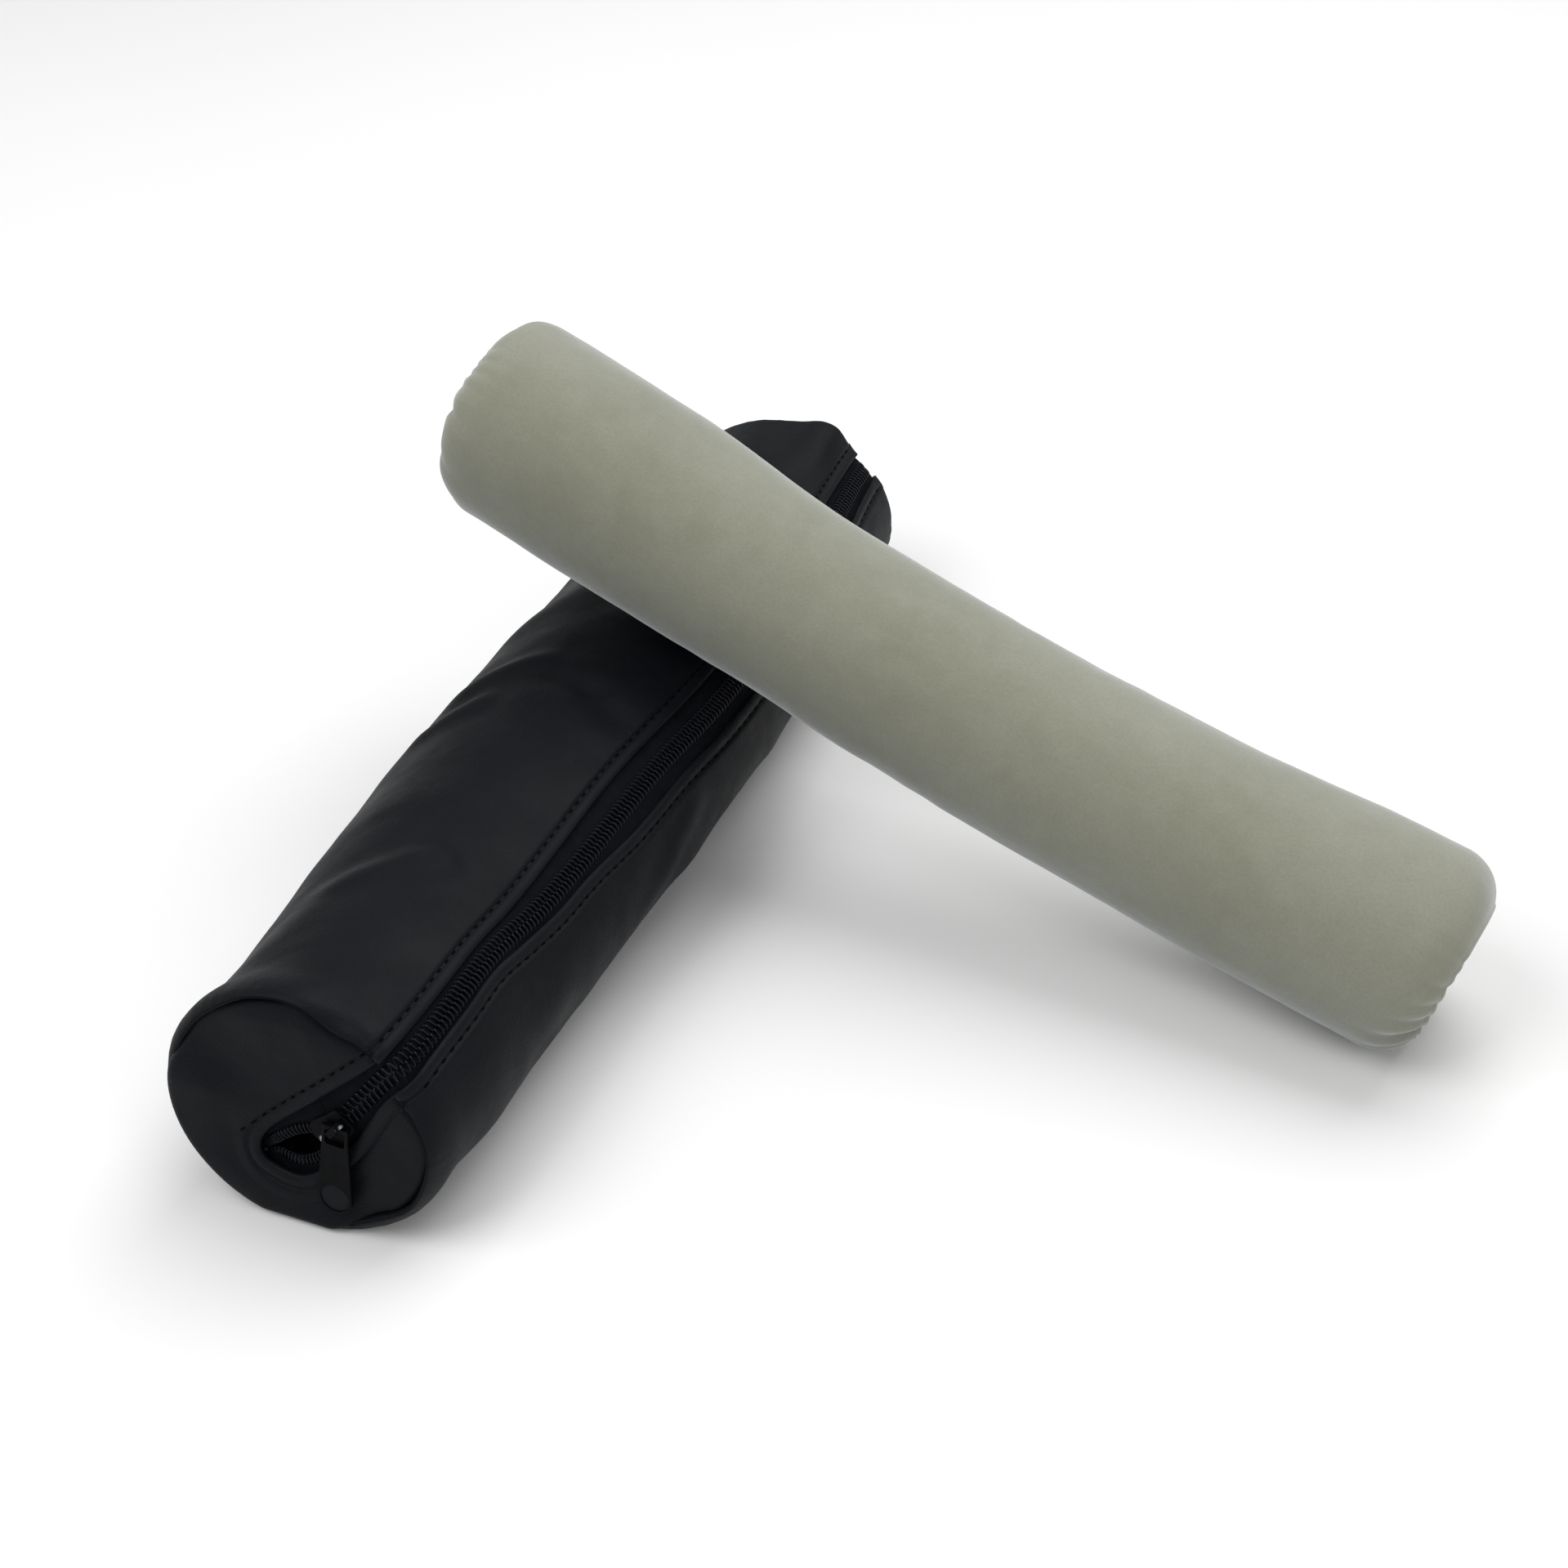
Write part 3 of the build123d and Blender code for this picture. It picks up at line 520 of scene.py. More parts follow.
def end_panel(name, side, slot_path, inset, lip=True, drop=0.0, n_between=34, step=0.55, dents=True, groove=True):
    """An end panel with its slot open to the rim, as a C-shaped grid from slot to outline."""
    t_o, out_xz = outline_points(side, inset)
    cx = out_xz.mean(0)
    cx = np.array([0.75 if side == "front" else 0.3, 30.5])
    ang = np.unwrap(np.arctan2(out_xz[:, 1] - cx[1], out_xz[:, 0] - cx[0]))
    rad = np.hypot(out_xz[:, 0] - cx[0], out_xz[:, 1] - cx[1])

    def radius(th):
        return np.interp((th - ang[0]) % (2 * math.pi) + ang[0], np.append(ang, ang[0] + 2 * math.pi), np.append(rad, rad[0]))

    def inside(p):
        th = np.arctan2(p[:, 1] - cx[1], p[:, 0] - cx[0])
        return radius(th) - np.hypot(p[:, 0] - cx[0], p[:, 1] - cx[1])

    path = smooth_path(slot_path, step * 0.5)
    xz = qu(path)
    keep = inside(xz) > 0
    first, last = np.argmax(keep), len(keep) - 1 - np.argmax(keep[::-1])
    xz = xz[first:last + 1]
    xz = resample_open(xz, step)
    tang = unit(np.gradient(xz, axis=0))
    # away from the slot: for a path out along the upper edge and back along the lower one
    nrm = np.stack([tang[:, 1], -tang[:, 0]], 1)
    # at the rim the edge rows run along the outline
    n = len(xz)
    arc = np.arange(n) * step
    for end in (0, 1):
        p0 = xz[0] if end == 0 else xz[-1]
        th = math.atan2(p0[1] - cx[1], p0[0] - cx[0])
        dth = 0.02 if end == 0 else -0.02
        q0 = cx + radius(th) * np.array([math.cos(th), math.sin(th)])
        q1 = cx + radius(th + dth) * np.array([math.cos(th + dth), math.sin(th + dth)])
        along = (q1 - q0) / np.linalg.norm(q1 - q0)
        w = np.exp(-((arc if end == 0 else arc[::-1]) / 3.0) ** 2)[:, None]
        nrm = unit(nrm * (1 - w) + along * w)
    edge_rows = LIP_TOP if lip else [(0.0, 0.0), (0.6, 0.0)]
    e_max = edge_rows[-1][0]
    p_in = xz + nrm * e_max
    g = inside(p_in)
    fix = g < 0.5
    # outline ends of the columns
    th0 = math.atan2(*(p_in[0] - cx)[::-1])
    th1 = math.atan2(*(p_in[-1] - cx)[::-1])
    th0 = th0 + 0.012
    th1 = th1 - 0.012
    while th1 < th0:
        th1 += 2 * math.pi
    f = np.linspace(0, 1, n)
    lin = th0 + (th1 - th0) * f
    hit = np.zeros(n)
    for i in range(n):
        lo, hi = 0.0, 90.0
        for _ in range(24):
            m = (lo + hi) / 2
            if inside((p_in[i] + nrm[i] * m)[None])[0] > 0:
                lo = m
            else:
                hi = m
        v = p_in[i] + nrm[i] * lo - cx
        hit[i] = math.atan2(v[1], v[0])
    hit = np.unwrap(hit)
    hit += 2 * math.pi * round((lin[n // 2] - hit[n // 2]) / (2 * math.pi))
    hit = np.maximum.accumulate(np.clip(hit, th0, th1))
    th = 0.45 * lin + 0.55 * hit
    th[0], th[-1] = th0, th1
    th = np.maximum.accumulate(th)
    p_out = cx + radius(th)[:, None] * np.stack([np.cos(th), np.sin(th)], 1)
    length = np.linalg.norm(p_out - p_in, axis=1)
    rows_xz, rows_h, rows_e = [], [], []
    if lip:
        for e, h in LIP_UNDER:
            rows_xz.append(xz + nrm * e)
            rows_h.append(np.full(n, h))
            rows_e.append(np.full(n, e))
    for e, h in edge_rows:
        rows_xz.append(xz + nrm * e)
        rows_h.append(np.full(n, h))
        rows_e.append(np.full(n, e))
    edge_steps = [4.0, 3.1, 2.4, 1.8, 1.3, 0.9, 0.55, 0.28, 0.08, 0.0]
    scale = np.minimum(1.0, length / 8.0)
    for k in range(1, n_between + 1):
        far = 1 - 4.0 * scale / np.maximum(length, 1e-6)
        w = far * k / n_between
        rows_xz.append(p_in + (p_out - p_in) * w[:, None])
        rows_h.append(np.zeros(n))
        rows_e.append(np.full(n, 20.0))
    for gk in edge_steps[1:]:
        w = 1 - gk * scale / np.maximum(length, 1e-6)
        rows_xz.append(p_in + (p_out - p_in) * w[:, None])
        rows_h.append(np.zeros(n))
        rows_e.append(np.full(n, 20.0))
    if groove:
        rows_xz.append(p_out)
        rows_h.append(np.full(n, -1.4))
        rows_e.append(np.full(n, 20.0))
    P = np.stack(rows_xz)
    H = np.stack(rows_h)
    E = np.stack(rows_e)
    g = inside(P.reshape(-1, 2)).reshape(P.shape[:2])
    if groove:
        r = 2.3
        x = np.clip(r - g, 0, r)
        H = H - (r - np.sqrt(np.maximum(r * r - x * x, 0)))
        H = H - 0.40 * np.exp(-(np.maximum(g, 0) / 4.0) ** 2)
    if dents:
        X, Z = P[..., 0], P[..., 1]
        seed = 41 if side == "front" else 57
        quiet = smooth01((E - 1.0) / 6.0) if lip else 1.0
        soft = 0.75 * fractal(X / 21.0, Z / 19.0, 0.2, seed, 2) + 0.14 * fractal(X / 7.0, Z / 7.0, 1.2, seed + 3, 2)
        H = H + soft * quiet * smooth01(g / 6.0)
        if side == "front":
            # the leather sags forward low down and rolls over its seam there
            th_p = np.degrees(np.arctan2(Z - cx[1], X - cx[0])) % 360
            rho = 1 - g / np.maximum(g + np.hypot(X - cx[0], Z - cx[1]), 1e-6)
            low = smooth01((th_p - 148) / 30.0) * smooth01((318 - th_p) / 34.0)
            H = H + 2.9 * low * smooth01((rho - 0.22) / 0.72) * np.where(g > -0.01, 1, 0)
            # the panel is pulled in around the mouth, and stands out a little over its lower left
            H = H + 0.9 * np.exp(-(((X + 18) / 15.0) ** 2 + ((Z - 36) / 13.0) ** 2)) * quiet
            H = H + 0.7 * np.exp(-(((X - 24) / 8.0) ** 2 + ((Z - 24) / 12.0) ** 2)) * quiet
            H = H - 0.8 * np.exp(-(((X - 10) / 9.0) ** 2 + ((Z - 19) / 7.0) ** 2)) * quiet
            H = H - 0.5 * np.exp(-(((X + 16) / 8.0) ** 2 + ((Z - 14) / 6.0) ** 2)) * quiet
            # a shallow dent where the pull's end leans on the leather
            H = H - 0.5 * np.exp(-(((X - 11) / 7.0) ** 2 + ((Z - 9) / 4.0) ** 2)) * quiet
        H = H + (0.20 * fractal(np.broadcast_to(arc / 9.0, g.shape), 0.0, 3.1, seed + 7, 2)) * np.exp(-E / 2.5) * (1 if lip else 0)
    H = H - drop
    n_out = FRONT_N if side == "front" else REAR_N
    y0 = front_y(P[..., 1]) if side == "front" else np.full(P.shape[:2], REAR_Y)
    pts = np.stack([P[..., 0], y0, P[..., 1]], -1) + H[..., None] * n_out
    pts[..., 2] = np.maximum(pts[..., 2], 0.05)
    rows_n, cols_n = pts.shape[:2]
    o = make_mesh(name, pts.reshape(-1, 3), grid_faces(rows_n, cols_n, flip=(side == "front")))
    attribute(o, "edge_mm", E)
    attribute(o, "seam_mm", np.clip(g, 0, 12))
    return o, dict(xz=xz, nrm=nrm, arc=arc)


def stitch_mesh(name, frames, length=2.3, radius=0.27):
    """Separate stitches: a small bowed capsule of thread at each (point, along, normal, length share)."""
    ring = 8
    prof = [(-0.5, 0.28), (-0.44, 0.72), (-0.3, 0.98), (0.0, 1.05), (0.3, 0.98), (0.44, 0.72), (0.5, 0.28)]
    verts, faces = [], []
    a = np.linspace(0, 2 * math.pi, ring, endpoint=False)
    for p, t, n, ln in frames:
        t, n = unit(np.asarray(t, float)), unit(np.asarray(n, float))
        b = np.cross(t, n)
        n = np.cross(b, t)
        start = len(verts)
        for x, r in prof:
            c = p + t * (x * length * ln) + n * (0.16 - 1.1 * x * x * 1.1)
            for k in a:
                verts.append(c + (b * math.cos(k) * 1.15 + n * math.sin(k)) * radius * r)
        for i in range(len(prof) - 1):
            for k in range(ring):
                k2 = (k + 1) % ring
                faces.append((start + i * ring + k, start + i * ring + k2, start + (i + 1) * ring + k2, start + (i + 1) * ring + k))
        faces.append(tuple(start + k for k in range(ring))[::-1])
        faces.append(tuple(start + (len(prof) - 1) * ring + k for k in range(ring)))
    return make_mesh(name, verts, faces)


# ================================================================ zipper
YS = np.arange(-158.0, 156.01, 1.0)
QS = np.arange(0.0, 56.01, 1.0)


def zip_rows(u_body, u_front, u_rear, depth, blur=1.7, dive=0.0):
    """Points and outward normals of a line that follows the zipper over both rims:
    u_body(y), u_front(q) and u_rear(q) give its place across."""
    pts, nrms = [], []
    # front panel from its slot's end up to the rim
    for q in -QS[::-1]:
        u = u_front(q)
        pts.append(("f", q, u))
    for y in YS:
        pts.append(("b", y, u_body(y)))
    for q in -QS:
        pts.append(("r", q, u_rear(q)))
    kind = np.array([p[0] for p in pts])
    v = np.array([p[1] for p in pts])
    u = np.array([p[2] for p in pts], float)
    out = np.zeros((len(pts), 3))
    nrm = np.zeros((len(pts), 3))
    b = kind == "b"
    y = v[b]
    t = angle_at(y, u[b])
    for _ in range(3):
        p = surf(y, t, depth)
        y = np.clip(v[b], front_y(p[:, 2]) + depth + 0.1, REAR_Y - depth - 0.1)
        t = angle_at(y, u[b])
    out[b] = surf(y, t, depth)
    a, cx, bb, zc = section(y)
    n2 = unit(np.stack([np.cos(t) / a, 0 * t, np.sin(t) / bb], -1))
    nrm[b] = n2
    for k, n_out in (("f", FRONT_N), ("r", REAR_N)):
        m = kind == k
        q = v[m].copy()
        ye = np.full(m.sum(), -156.0 if k == "f" else REAR_Y)
        te = angle_at(ye, u[m])
        rim = surf(ye, te, depth)
        q_rim = (rim[:, 0] - RIM[0]) * QD[0] + (rim[:, 2] - RIM[1]) * QD[1]
        q = np.minimum(q + 0.0, q_rim - 0.05)
        xz = RIM + q[:, None] * QD + u[m][:, None] * UD
        yy = front_y(xz[:, 1]) if k == "f" else np.full(len(xz), REAR_Y)
        out[m] = np.stack([xz[:, 0], yy, xz[:, 1]], -1) - depth * n_out
        nrm[m] = n_out
    if dive:
        for k, start in (("f", 42.0), ("r", 43.5)):
            m = kind == k
            out[m] -= (dive * smooth01((-v[m] - start) / 5.0))[:, None] * (FRONT_N if k == "f" else REAR_N)
    out = blur_rows(out, blur)
    nrm = unit(blur_rows(nrm, blur * 1.2))
    return out, nrm


def u_chain(y):
    return spline(CHAIN, y)


def piece_line(points):
    pts = sorted(points)
    x = [p[0] for p in pts]
    yv = [p[1] for p in pts]
    return lambda q: np.interp(q, x, yv)


F_L, F_R = piece_line(FRONT_COIL_L), piece_line(FRONT_COIL_R)


def coil_mesh(name, sign, q_from=None, q_to=None, part="chain"):
    """One side of the nylon chain: a flattened helix of one filament, sewn to the tape's edge."""
    line = F_L if sign > 0 else F_R
    path, nrm = zip_rows(lambda y: u_chain(y) + sign * PAIR, line, lambda q: sign * PAIR, 0.275, dive=2.6)
    n_front = len(QS)
    # cut the line at the mouth: the closed chain starts under the slider
    cut = int(np.argmin(np.abs(-QS[::-1] - (-24.0))))
    path = blur_rows(path, 1.0)
    if part == "chain":
        path, nrm = path[cut:], nrm[cut:]
        path, nrm = path[:len(path) - 6], nrm[:len(nrm) - 6]
    else:
        path, nrm = path[3:cut + 1], nrm[3:cut + 1]
    P, s, NN = resample(path, 0.115, nrm)
    T = unit(np.gradient(P, axis=0))
    NN = unit(NN - (NN * T).sum(1, keepdims=True) * T)
    A = unit(np.cross(NN, T)) * 1.0
    # the loops fan apart where the chain bends over the front rim
    pitch = 1.66 + 0.42 * np.exp(-((P[:, 1] + 162.0) / 7.0) ** 2)
    if part == "mouth":
        pitch = 1.66 - 0.46 * smooth01((s[-1] - s) / 4.0)
    turns = np.concatenate([[0], np.cumsum(np.diff(s) / (0.5 * (pitch[1:] + pitch[:-1])))])
    if part == "mouth":
        turns = turns - turns[-1]
    phase = 2 * math.pi * turns + (0 if sign > 0 else math.pi)
    # A points to +u or -u: make it +u
    up = np.array([UD[0], 0, UD[1]])
    flip = np.sign((A * up).sum(1, keepdims=True))
    A = A * flip
    c, d = np.cos(phase), np.sin(phase)
    # the loops stand a little forward on the inner side where the two rows meet
    across = sign * (1.24 * np.sign(c) * np.abs(c) ** 0.75 - 0.20)
    lift = 0.56 * np.sign(d) * np.abs(d) ** 0.8
    centre = P + A * across[:, None] + NN * lift[:, None]
    tang = unit(np.gradient(centre, axis=0))
    side = unit(np.cross(tang, NN + 0.01 * A))
    up2 = np.cross(side, tang)
    ring = 6
    r = 0.29 if part == "chain" else 0.235
    k = np.arange(ring) * 2 * math.pi / ring
    # the head of each loop, at the inner side, is a little fatter
    fat = 1 + 0.22 * np.exp(-((c * (-1) - 1) / 0.22) ** 2)
    verts = centre[:, None, :] + r * fat[:, None, None] * (side[:, None, :] * np.cos(k)[None, :, None] + up2[:, None, :] * np.sin(k)[None, :, None])
    faces = grid_faces(len(centre), ring, wrap=True).tolist()
    n = len(centre)
    faces.append(list(range(ring))[::-1])
    faces.append([(n - 1) * ring + i for i in range(ring)])
    return make_mesh(name, verts.reshape(-1, 3), faces)


def tape_mesh(name, sign, part="chain"):
    """One woven tape, from under its coil out beneath the leather."""
    offs = [0.15, 0.6, 1.2, 1.9, 2.6, 3.3, 4.0, 4.8, 5.6, 6.5, 7.5, 8.5, 9.5, 10.5, 11.5, 12.5, 13.6]
    cols, nr = [], []
    line = F_L if sign > 0 else F_R
    for v in offs:
        du = sign * (v + 0.0)
        # on the body the tape is flat below its coil; its outer part follows the form
        f = lambda q, v=v: line(q) + sign * (v - PAIR) * (1 - 0.0)
        if part == "mouth" or True:
            # outer edge stays under the panel where the coils part
            def f(q, v=v):
                inner = line(q) + sign * (v - PAIR)
                outer = sign * v
                k = smooth01((v - 3.0) / 9.0)
                return inner * (1 - k) + outer * k
        p, n = zip_rows(lambda y, du=du: u_chain(y) + du, f, lambda q, du=du: du, 1.42, dive=1.0)
        cols.append(p)
        nr.append(n)
    P = np.stack(cols, 1)
    N = np.stack(nr, 1)
    cut = int(np.argmin(np.abs(-QS[::-1] - (-24.0))))
    if part == "chain":
        P, N = P[cut:], N[cut:]
    else:
        P, N = P[2:cut + 1], N[2:cut + 1]
    # the exposed part of the tape hangs very slightly between its coil and the leather
    rows, n_cols = P.shape[:2]
    s = np.concatenate([[0], np.cumsum(np.linalg.norm(np.diff(P[:, 4], axis=0), axis=1))])
    v = np.array(offs)
    sag = -0.10 - 0.10 * np.sin(np.clip((v - 2.0) / 8.0, 0, 1) * math.pi)
    # a raised selvedge band beside the coil, where its sewing runs
    band = 0.10 * np.exp(-((v - 3.1) / 0.5) ** 2)
    wav = 0.10 * fractal(s[:, None] / 12.0, v[None, :] / 9.0, sign * 3.0, 71, 2)
    full_up = np.zeros(rows)
    if part == "chain":
        full_up = 0.95 * np.exp(-((s - s[rows - len(QS)]) / 5.0) ** 2)
    full_up = full_up[:, None] * (1 - smooth01((v - 6.5) / 3.0))[None, :]
    P = P + N * ((sag + band)[None, :] + wav + full_up)[..., None]
    # finer rows and columns
    uv = np.stack(np.broadcast_arrays(s[:, None], v[None, :]), -1)
    o = make_mesh(name, P.reshape(-1, 3), grid_faces(rows, n_cols, flip=(sign < 0)), uv=uv.reshape(-1, 2) * 0.001)
    m = o.modifiers.new("fine", "SUBSURF")
    m.levels = m.render_levels = 1
    solidify(o, 0.42)
    return o


# ================================================================ materials
def lin(h):
    h = h.lstrip("#")
    c = [int(h[i:i + 2], 16) / 255 for i in (0, 2, 4)]
    return tuple(x / 12.92 if x <= 0.04045 else ((x + 0.055) / 1.055) ** 2.4 for x in c) + (1.0,)


class Nodes:
    def __init__(self, name):
        self.mat = bpy.data.materials.new(name)
        self.mat.use_nodes = True
        self.t = self.mat.node_tree
        self.bsdf = self.t.nodes["Principled BSDF"]
        self.coords = self.t.nodes.new("ShaderNodeTexCoord")

    def new(self, kind, **values):
        n = self.t.nodes.new(kind)
        for k, v in values.items():
            if k.startswith("_"):
                setattr(n, k[1:], v)
            else:
                n.inputs[k.replace("__", " ")].default_value = v
        return n

    def link(self, a, b):
        self.t.links.new(a, b)

    def noise(self, scale, detail=3.0, rough=0.55, source=None, distortion=0.0):
        n = self.new("ShaderNodeTexNoise", Scale=scale, Detail=detail, Roughness=rough, Distortion=distortion)
        self.link(source or self.coords.outputs["Object"], n.inputs["Vector"])
        return n.outputs["Fac"]

    def ramp(self, fac, stops):
        n = self.new("ShaderNodeValToRGB")
        while len(n.color_ramp.elements) < len(stops):
            n.color_ramp.elements.new(0.5)
        for e, (pos, col) in zip(n.color_ramp.elements, stops):
            e.position = pos
            e.color = col if len(col) == 4 else tuple(col) + (1.0,)
        self.link(fac, n.inputs["Fac"])
        return n.outputs["Color"]

    def to_range(self, fac, a, b, c, d):
        n = self.new("ShaderNodeMapRange")
        for i, v in enumerate((a, b, c, d)):
            n.inputs[i + 1].default_value = v
        self.link(fac, n.inputs["Value"])
        return n.outputs["Result"]

    def math(self, op, a, b=None, clamp=False):
        n = self.new("ShaderNodeMath", _operation=op, _use_clamp=clamp)
        for i, v in enumerate((a, b)):
            if v is None:
                continue
            if isinstance(v, (int, float)):
                n.inputs[i].default_value = v
            else:
                self.link(v, n.inputs[i])
        return n.outputs[0]

    def mix(self, fac, a, b, blend="MIX"):
        n = self.new("ShaderNodeMix", _data_type="RGBA", _blend_type=blend)
        for sock, v in ((n.inputs[0], fac), (n.inputs[6], a), (n.inputs[7], b)):
            if isinstance(v, (int, float, tuple)):
                sock.default_value = v
            else:
                self.link(v, sock)
        return n.outputs[2]

    def bump(self, height, strength, distance, normal=None):
        n = self.new("ShaderNodeBump", Strength=strength, Distance=distance)
        self.link(height, n.inputs["Height"])
        if normal is not None:
            self.link(normal, n.inputs["Normal"])
        return n.outputs["Normal"]

    def attr(self, name):
        n = self.new("ShaderNodeAttribute", _attribute_name=name)
        return n.outputs["Fac"]

    def finish(self, color=None, rough=None, normal=None, **plain):
        if color is not None:
            self.link(color, self.bsdf.inputs["Base Color"])
        if rough is not None:
            self.link(rough, self.bsdf.inputs["Roughness"])
        if normal is not None:
            self.link(normal, self.bsdf.inputs["Normal"])
        for k, v in plain.items():
            self.bsdf.inputs[k.replace("__", " ")].default_value = v
        return self.mat


def leather_material(name="leatherette", seed=0.0):
    m = Nodes(name)
    base = m.noise(38.0, 4.0)
    col = m.ramp(base, [(0.25, lin("#090c11")), (0.55, lin("#0c0f14")), (0.8, lin("#101318"))])
    blot = m.noise(9.0, 2.0)
    col = m.mix(m.to_range(blot, 0.35, 0.75, 0.0, 0.55), col, lin("#0f1115"))
    # worn a touch lighter along the turned edges
    edge = m.attr("edge_mm")
    worn = m.math("MULTIPLY", m.to_range(edge, 0.2, 1.8, 1.0, 0.0), m.to_range(m.noise(420.0, 3.0), 0.4, 0.7, 0.1, 0.8))
    col = m.mix(m.math("MULTIPLY", worn, 0.3), col, lin("#191a20"))
    # fine pebbled grain with a few longer creases
    vor = m.new("ShaderNodeTexVoronoi", Scale=1150.0, Randomness=0.9, _feature="DISTANCE_TO_EDGE")
    m.link(m.coords.outputs["Object"], vor.inputs["Vector"])
    pebble = m.to_range(vor.outputs["Distance"], 0.0, 0.32, 0.0, 1.0)
    vor2 = m.new("ShaderNodeTexVoronoi", Scale=520.0, Randomness=1.0, _feature="DISTANCE_TO_EDGE")
    warp = m.new("ShaderNodeTexNoise", Scale=300.0, Detail=2.0)
    m.link(m.coords.outputs["Object"], warp.inputs["Vector"])
    add = m.new("ShaderNodeVectorMath", _operation="MULTIPLY_ADD")
    m.link(warp.outputs["Color"], add.inputs[0])
    add.inputs[1].default_value = (0.0016, 0.0016, 0.0016)
    m.link(m.coords.outputs["Object"], add.inputs[2])
    m.link(add.outputs["Vector"], vor2.inputs["Vector"])
    lines = m.to_range(vor2.outputs["Distance"], 0.0, 0.10, 0.0, 1.0)
    pores = m.noise(2600.0, 2.0)
    n1 = m.bump(pebble, 0.34, 0.00010)
    n2 = m.bump(lines, 0.07, 0.00016, n1)
    n3 = m.bump(pores, 0.20, 0.00006, n2)
    n4 = m.bump(m.noise(120.0, 3.0), 0.30, 0.0007, n3)
    rough = m.math("ADD", m.to_range(m.noise(70.0, 3.0), 0.3, 0.7, 0.50, 0.62), m.math("MULTIPLY", pebble, -0.05))
    m.bsdf.inputs["Sheen Weight"].default_value = 0.008
    m.bsdf.inputs["Sheen Roughness"].default_value = 0.5
    m.bsdf.inputs["Specular IOR Level"].default_value = 0.105
    return m.finish(col, rough, n4)


def tape_material():
    m = Nodes("woven_tape")
    uv = m.new("ShaderNodeUVMap", _uv_map="along")
    sep = m.new("ShaderNodeSeparateXYZ")
    m.link(uv.outputs["UV"], sep.inputs[0])
    s, v = sep.outputs[0], sep.outputs[1]
    # ribs across the tape 0.45 mm apart and fine warp threads along it
    rib = m.math("SINE", m.math("MULTIPLY", m.math("ADD", s, m.math("MULTIPLY", v, 0.55)), 2 * math.pi / 0.00062))
    warp = m.math("SINE", m.math("MULTIPLY", v, 2 * math.pi / 0.00048))
    height = m.math("ADD", m.math("MULTIPLY", rib, 0.6), m.math("MULTIPLY", m.math("MULTIPLY", warp, rib), 0.5))
    fuzz = m.noise(3200.0, 2.0)
    col = m.ramp(m.noise(260.0, 4.0), [(0.3, lin("#0d0f14")), (0.7, lin("#13151b"))])
    # painted shade: the low places of the weave, between the ribs, are darkened
    col = m.mix(m.to_range(height, -0.6, 1.0, 0.35, 0.0), col, lin("#05060a"))
    n1 = m.bump(height, 0.55, 0.00016)
    n2 = m.bump(fuzz, 0.35, 0.00010, n1)
    m.bsdf.inputs["Sheen Weight"].default_value = 0.006
    m.bsdf.inputs["Specular IOR Level"].default_value = 0.08
    return m.finish(col, m.to_range(m.noise(500.0), 0.3, 0.7, 0.82, 0.95), n2)


def coil_material():
    m = Nodes("coil_nylon")
    col = m.ramp(m.noise(300.0, 3.0), [(0.3, lin("#0b0d13")), (0.7, lin("#10131a"))])
    n = m.bump(m.noise(2400.0, 2.0), 0.2, 0.00005)
    m.bsdf.inputs["Specular IOR Level"].default_value = 0.15
    return m.finish(col, m.to_range(m.noise(900.0), 0.3, 0.7, 0.14, 0.26), n)


def thread_material():
    m = Nodes("sewing_thread")
    col = m.ramp(m.noise(900.0, 3.0), [(0.3, lin("#020203")), (0.7, lin("#050506"))])
    w = m.new("ShaderNodeTexWave", Scale=900.0, Distortion=1.0)
    w.bands_direction = "DIAGONAL"
    m.link(m.coords.outputs["Object"], w.inputs["Vector"])
    n = m.bump(w.outputs["Fac"], 0.5, 0.00008)
    m.bsdf.inputs["Specular IOR Level"].default_value = 0.06
    return m.finish(col, m.to_range(m.noise(1500.0), 0.3, 0.7, 0.7, 0.9), n)


def metal_material(name, spots=(), disc=None):
    """Black enamel on metal, with small bright worn places at the given points (mm) and a lighter round recess."""
    m = Nodes(name)
    col = m.ramp(m.noise(180.0, 3.0), [(0.3, lin("#050608")), (0.7, lin("#08090c"))])
    if disc is not None:
        d = m.new("ShaderNodeVectorMath", _operation="DISTANCE")
        m.link(m.coords.outputs["Object"], d.inputs[0])
        d.inputs[1].default_value = tuple(v * MM for v in disc[:3])
        col = m.mix(m.to_range(d.outputs["Value"], disc[3] * MM * 0.98, disc[3] * MM * 1.02, 1.0, 0.0), col, lin("#17191d"))
    rough = m.to_range(m.noise(420.0, 3.0), 0.3, 0.7, 0.42, 0.55)
    m.bsdf.inputs["Specular IOR Level"].default_value = 0.055
    n = m.bump(m.noise(1300.0, 3.0), 0.18, 0.00006)
    mask = None
    for x, y, z, r in spots:
        d = m.new("ShaderNodeVectorMath", _operation="DISTANCE")
        m.link(m.coords.outputs["Object"], d.inputs[0])
        d.inputs[1].default_value = (x * MM, y * MM, z * MM)
        near = m.to_range(m.math("ADD", d.outputs["Value"], m.math("MULTIPLY", m.noise(2600.0, 3.0), 0.0005)), r * MM * 0.7, r * MM * 1.35, 1.0, 0.0)
        mask = near if mask is None else m.math("MAXIMUM", mask, near)
    if mask is not None:
        col = m.mix(mask, col, lin("#a8a9ac"))
        m.link(mask, m.bsdf.inputs["Metallic"])
    return m.finish(col, rough, n)


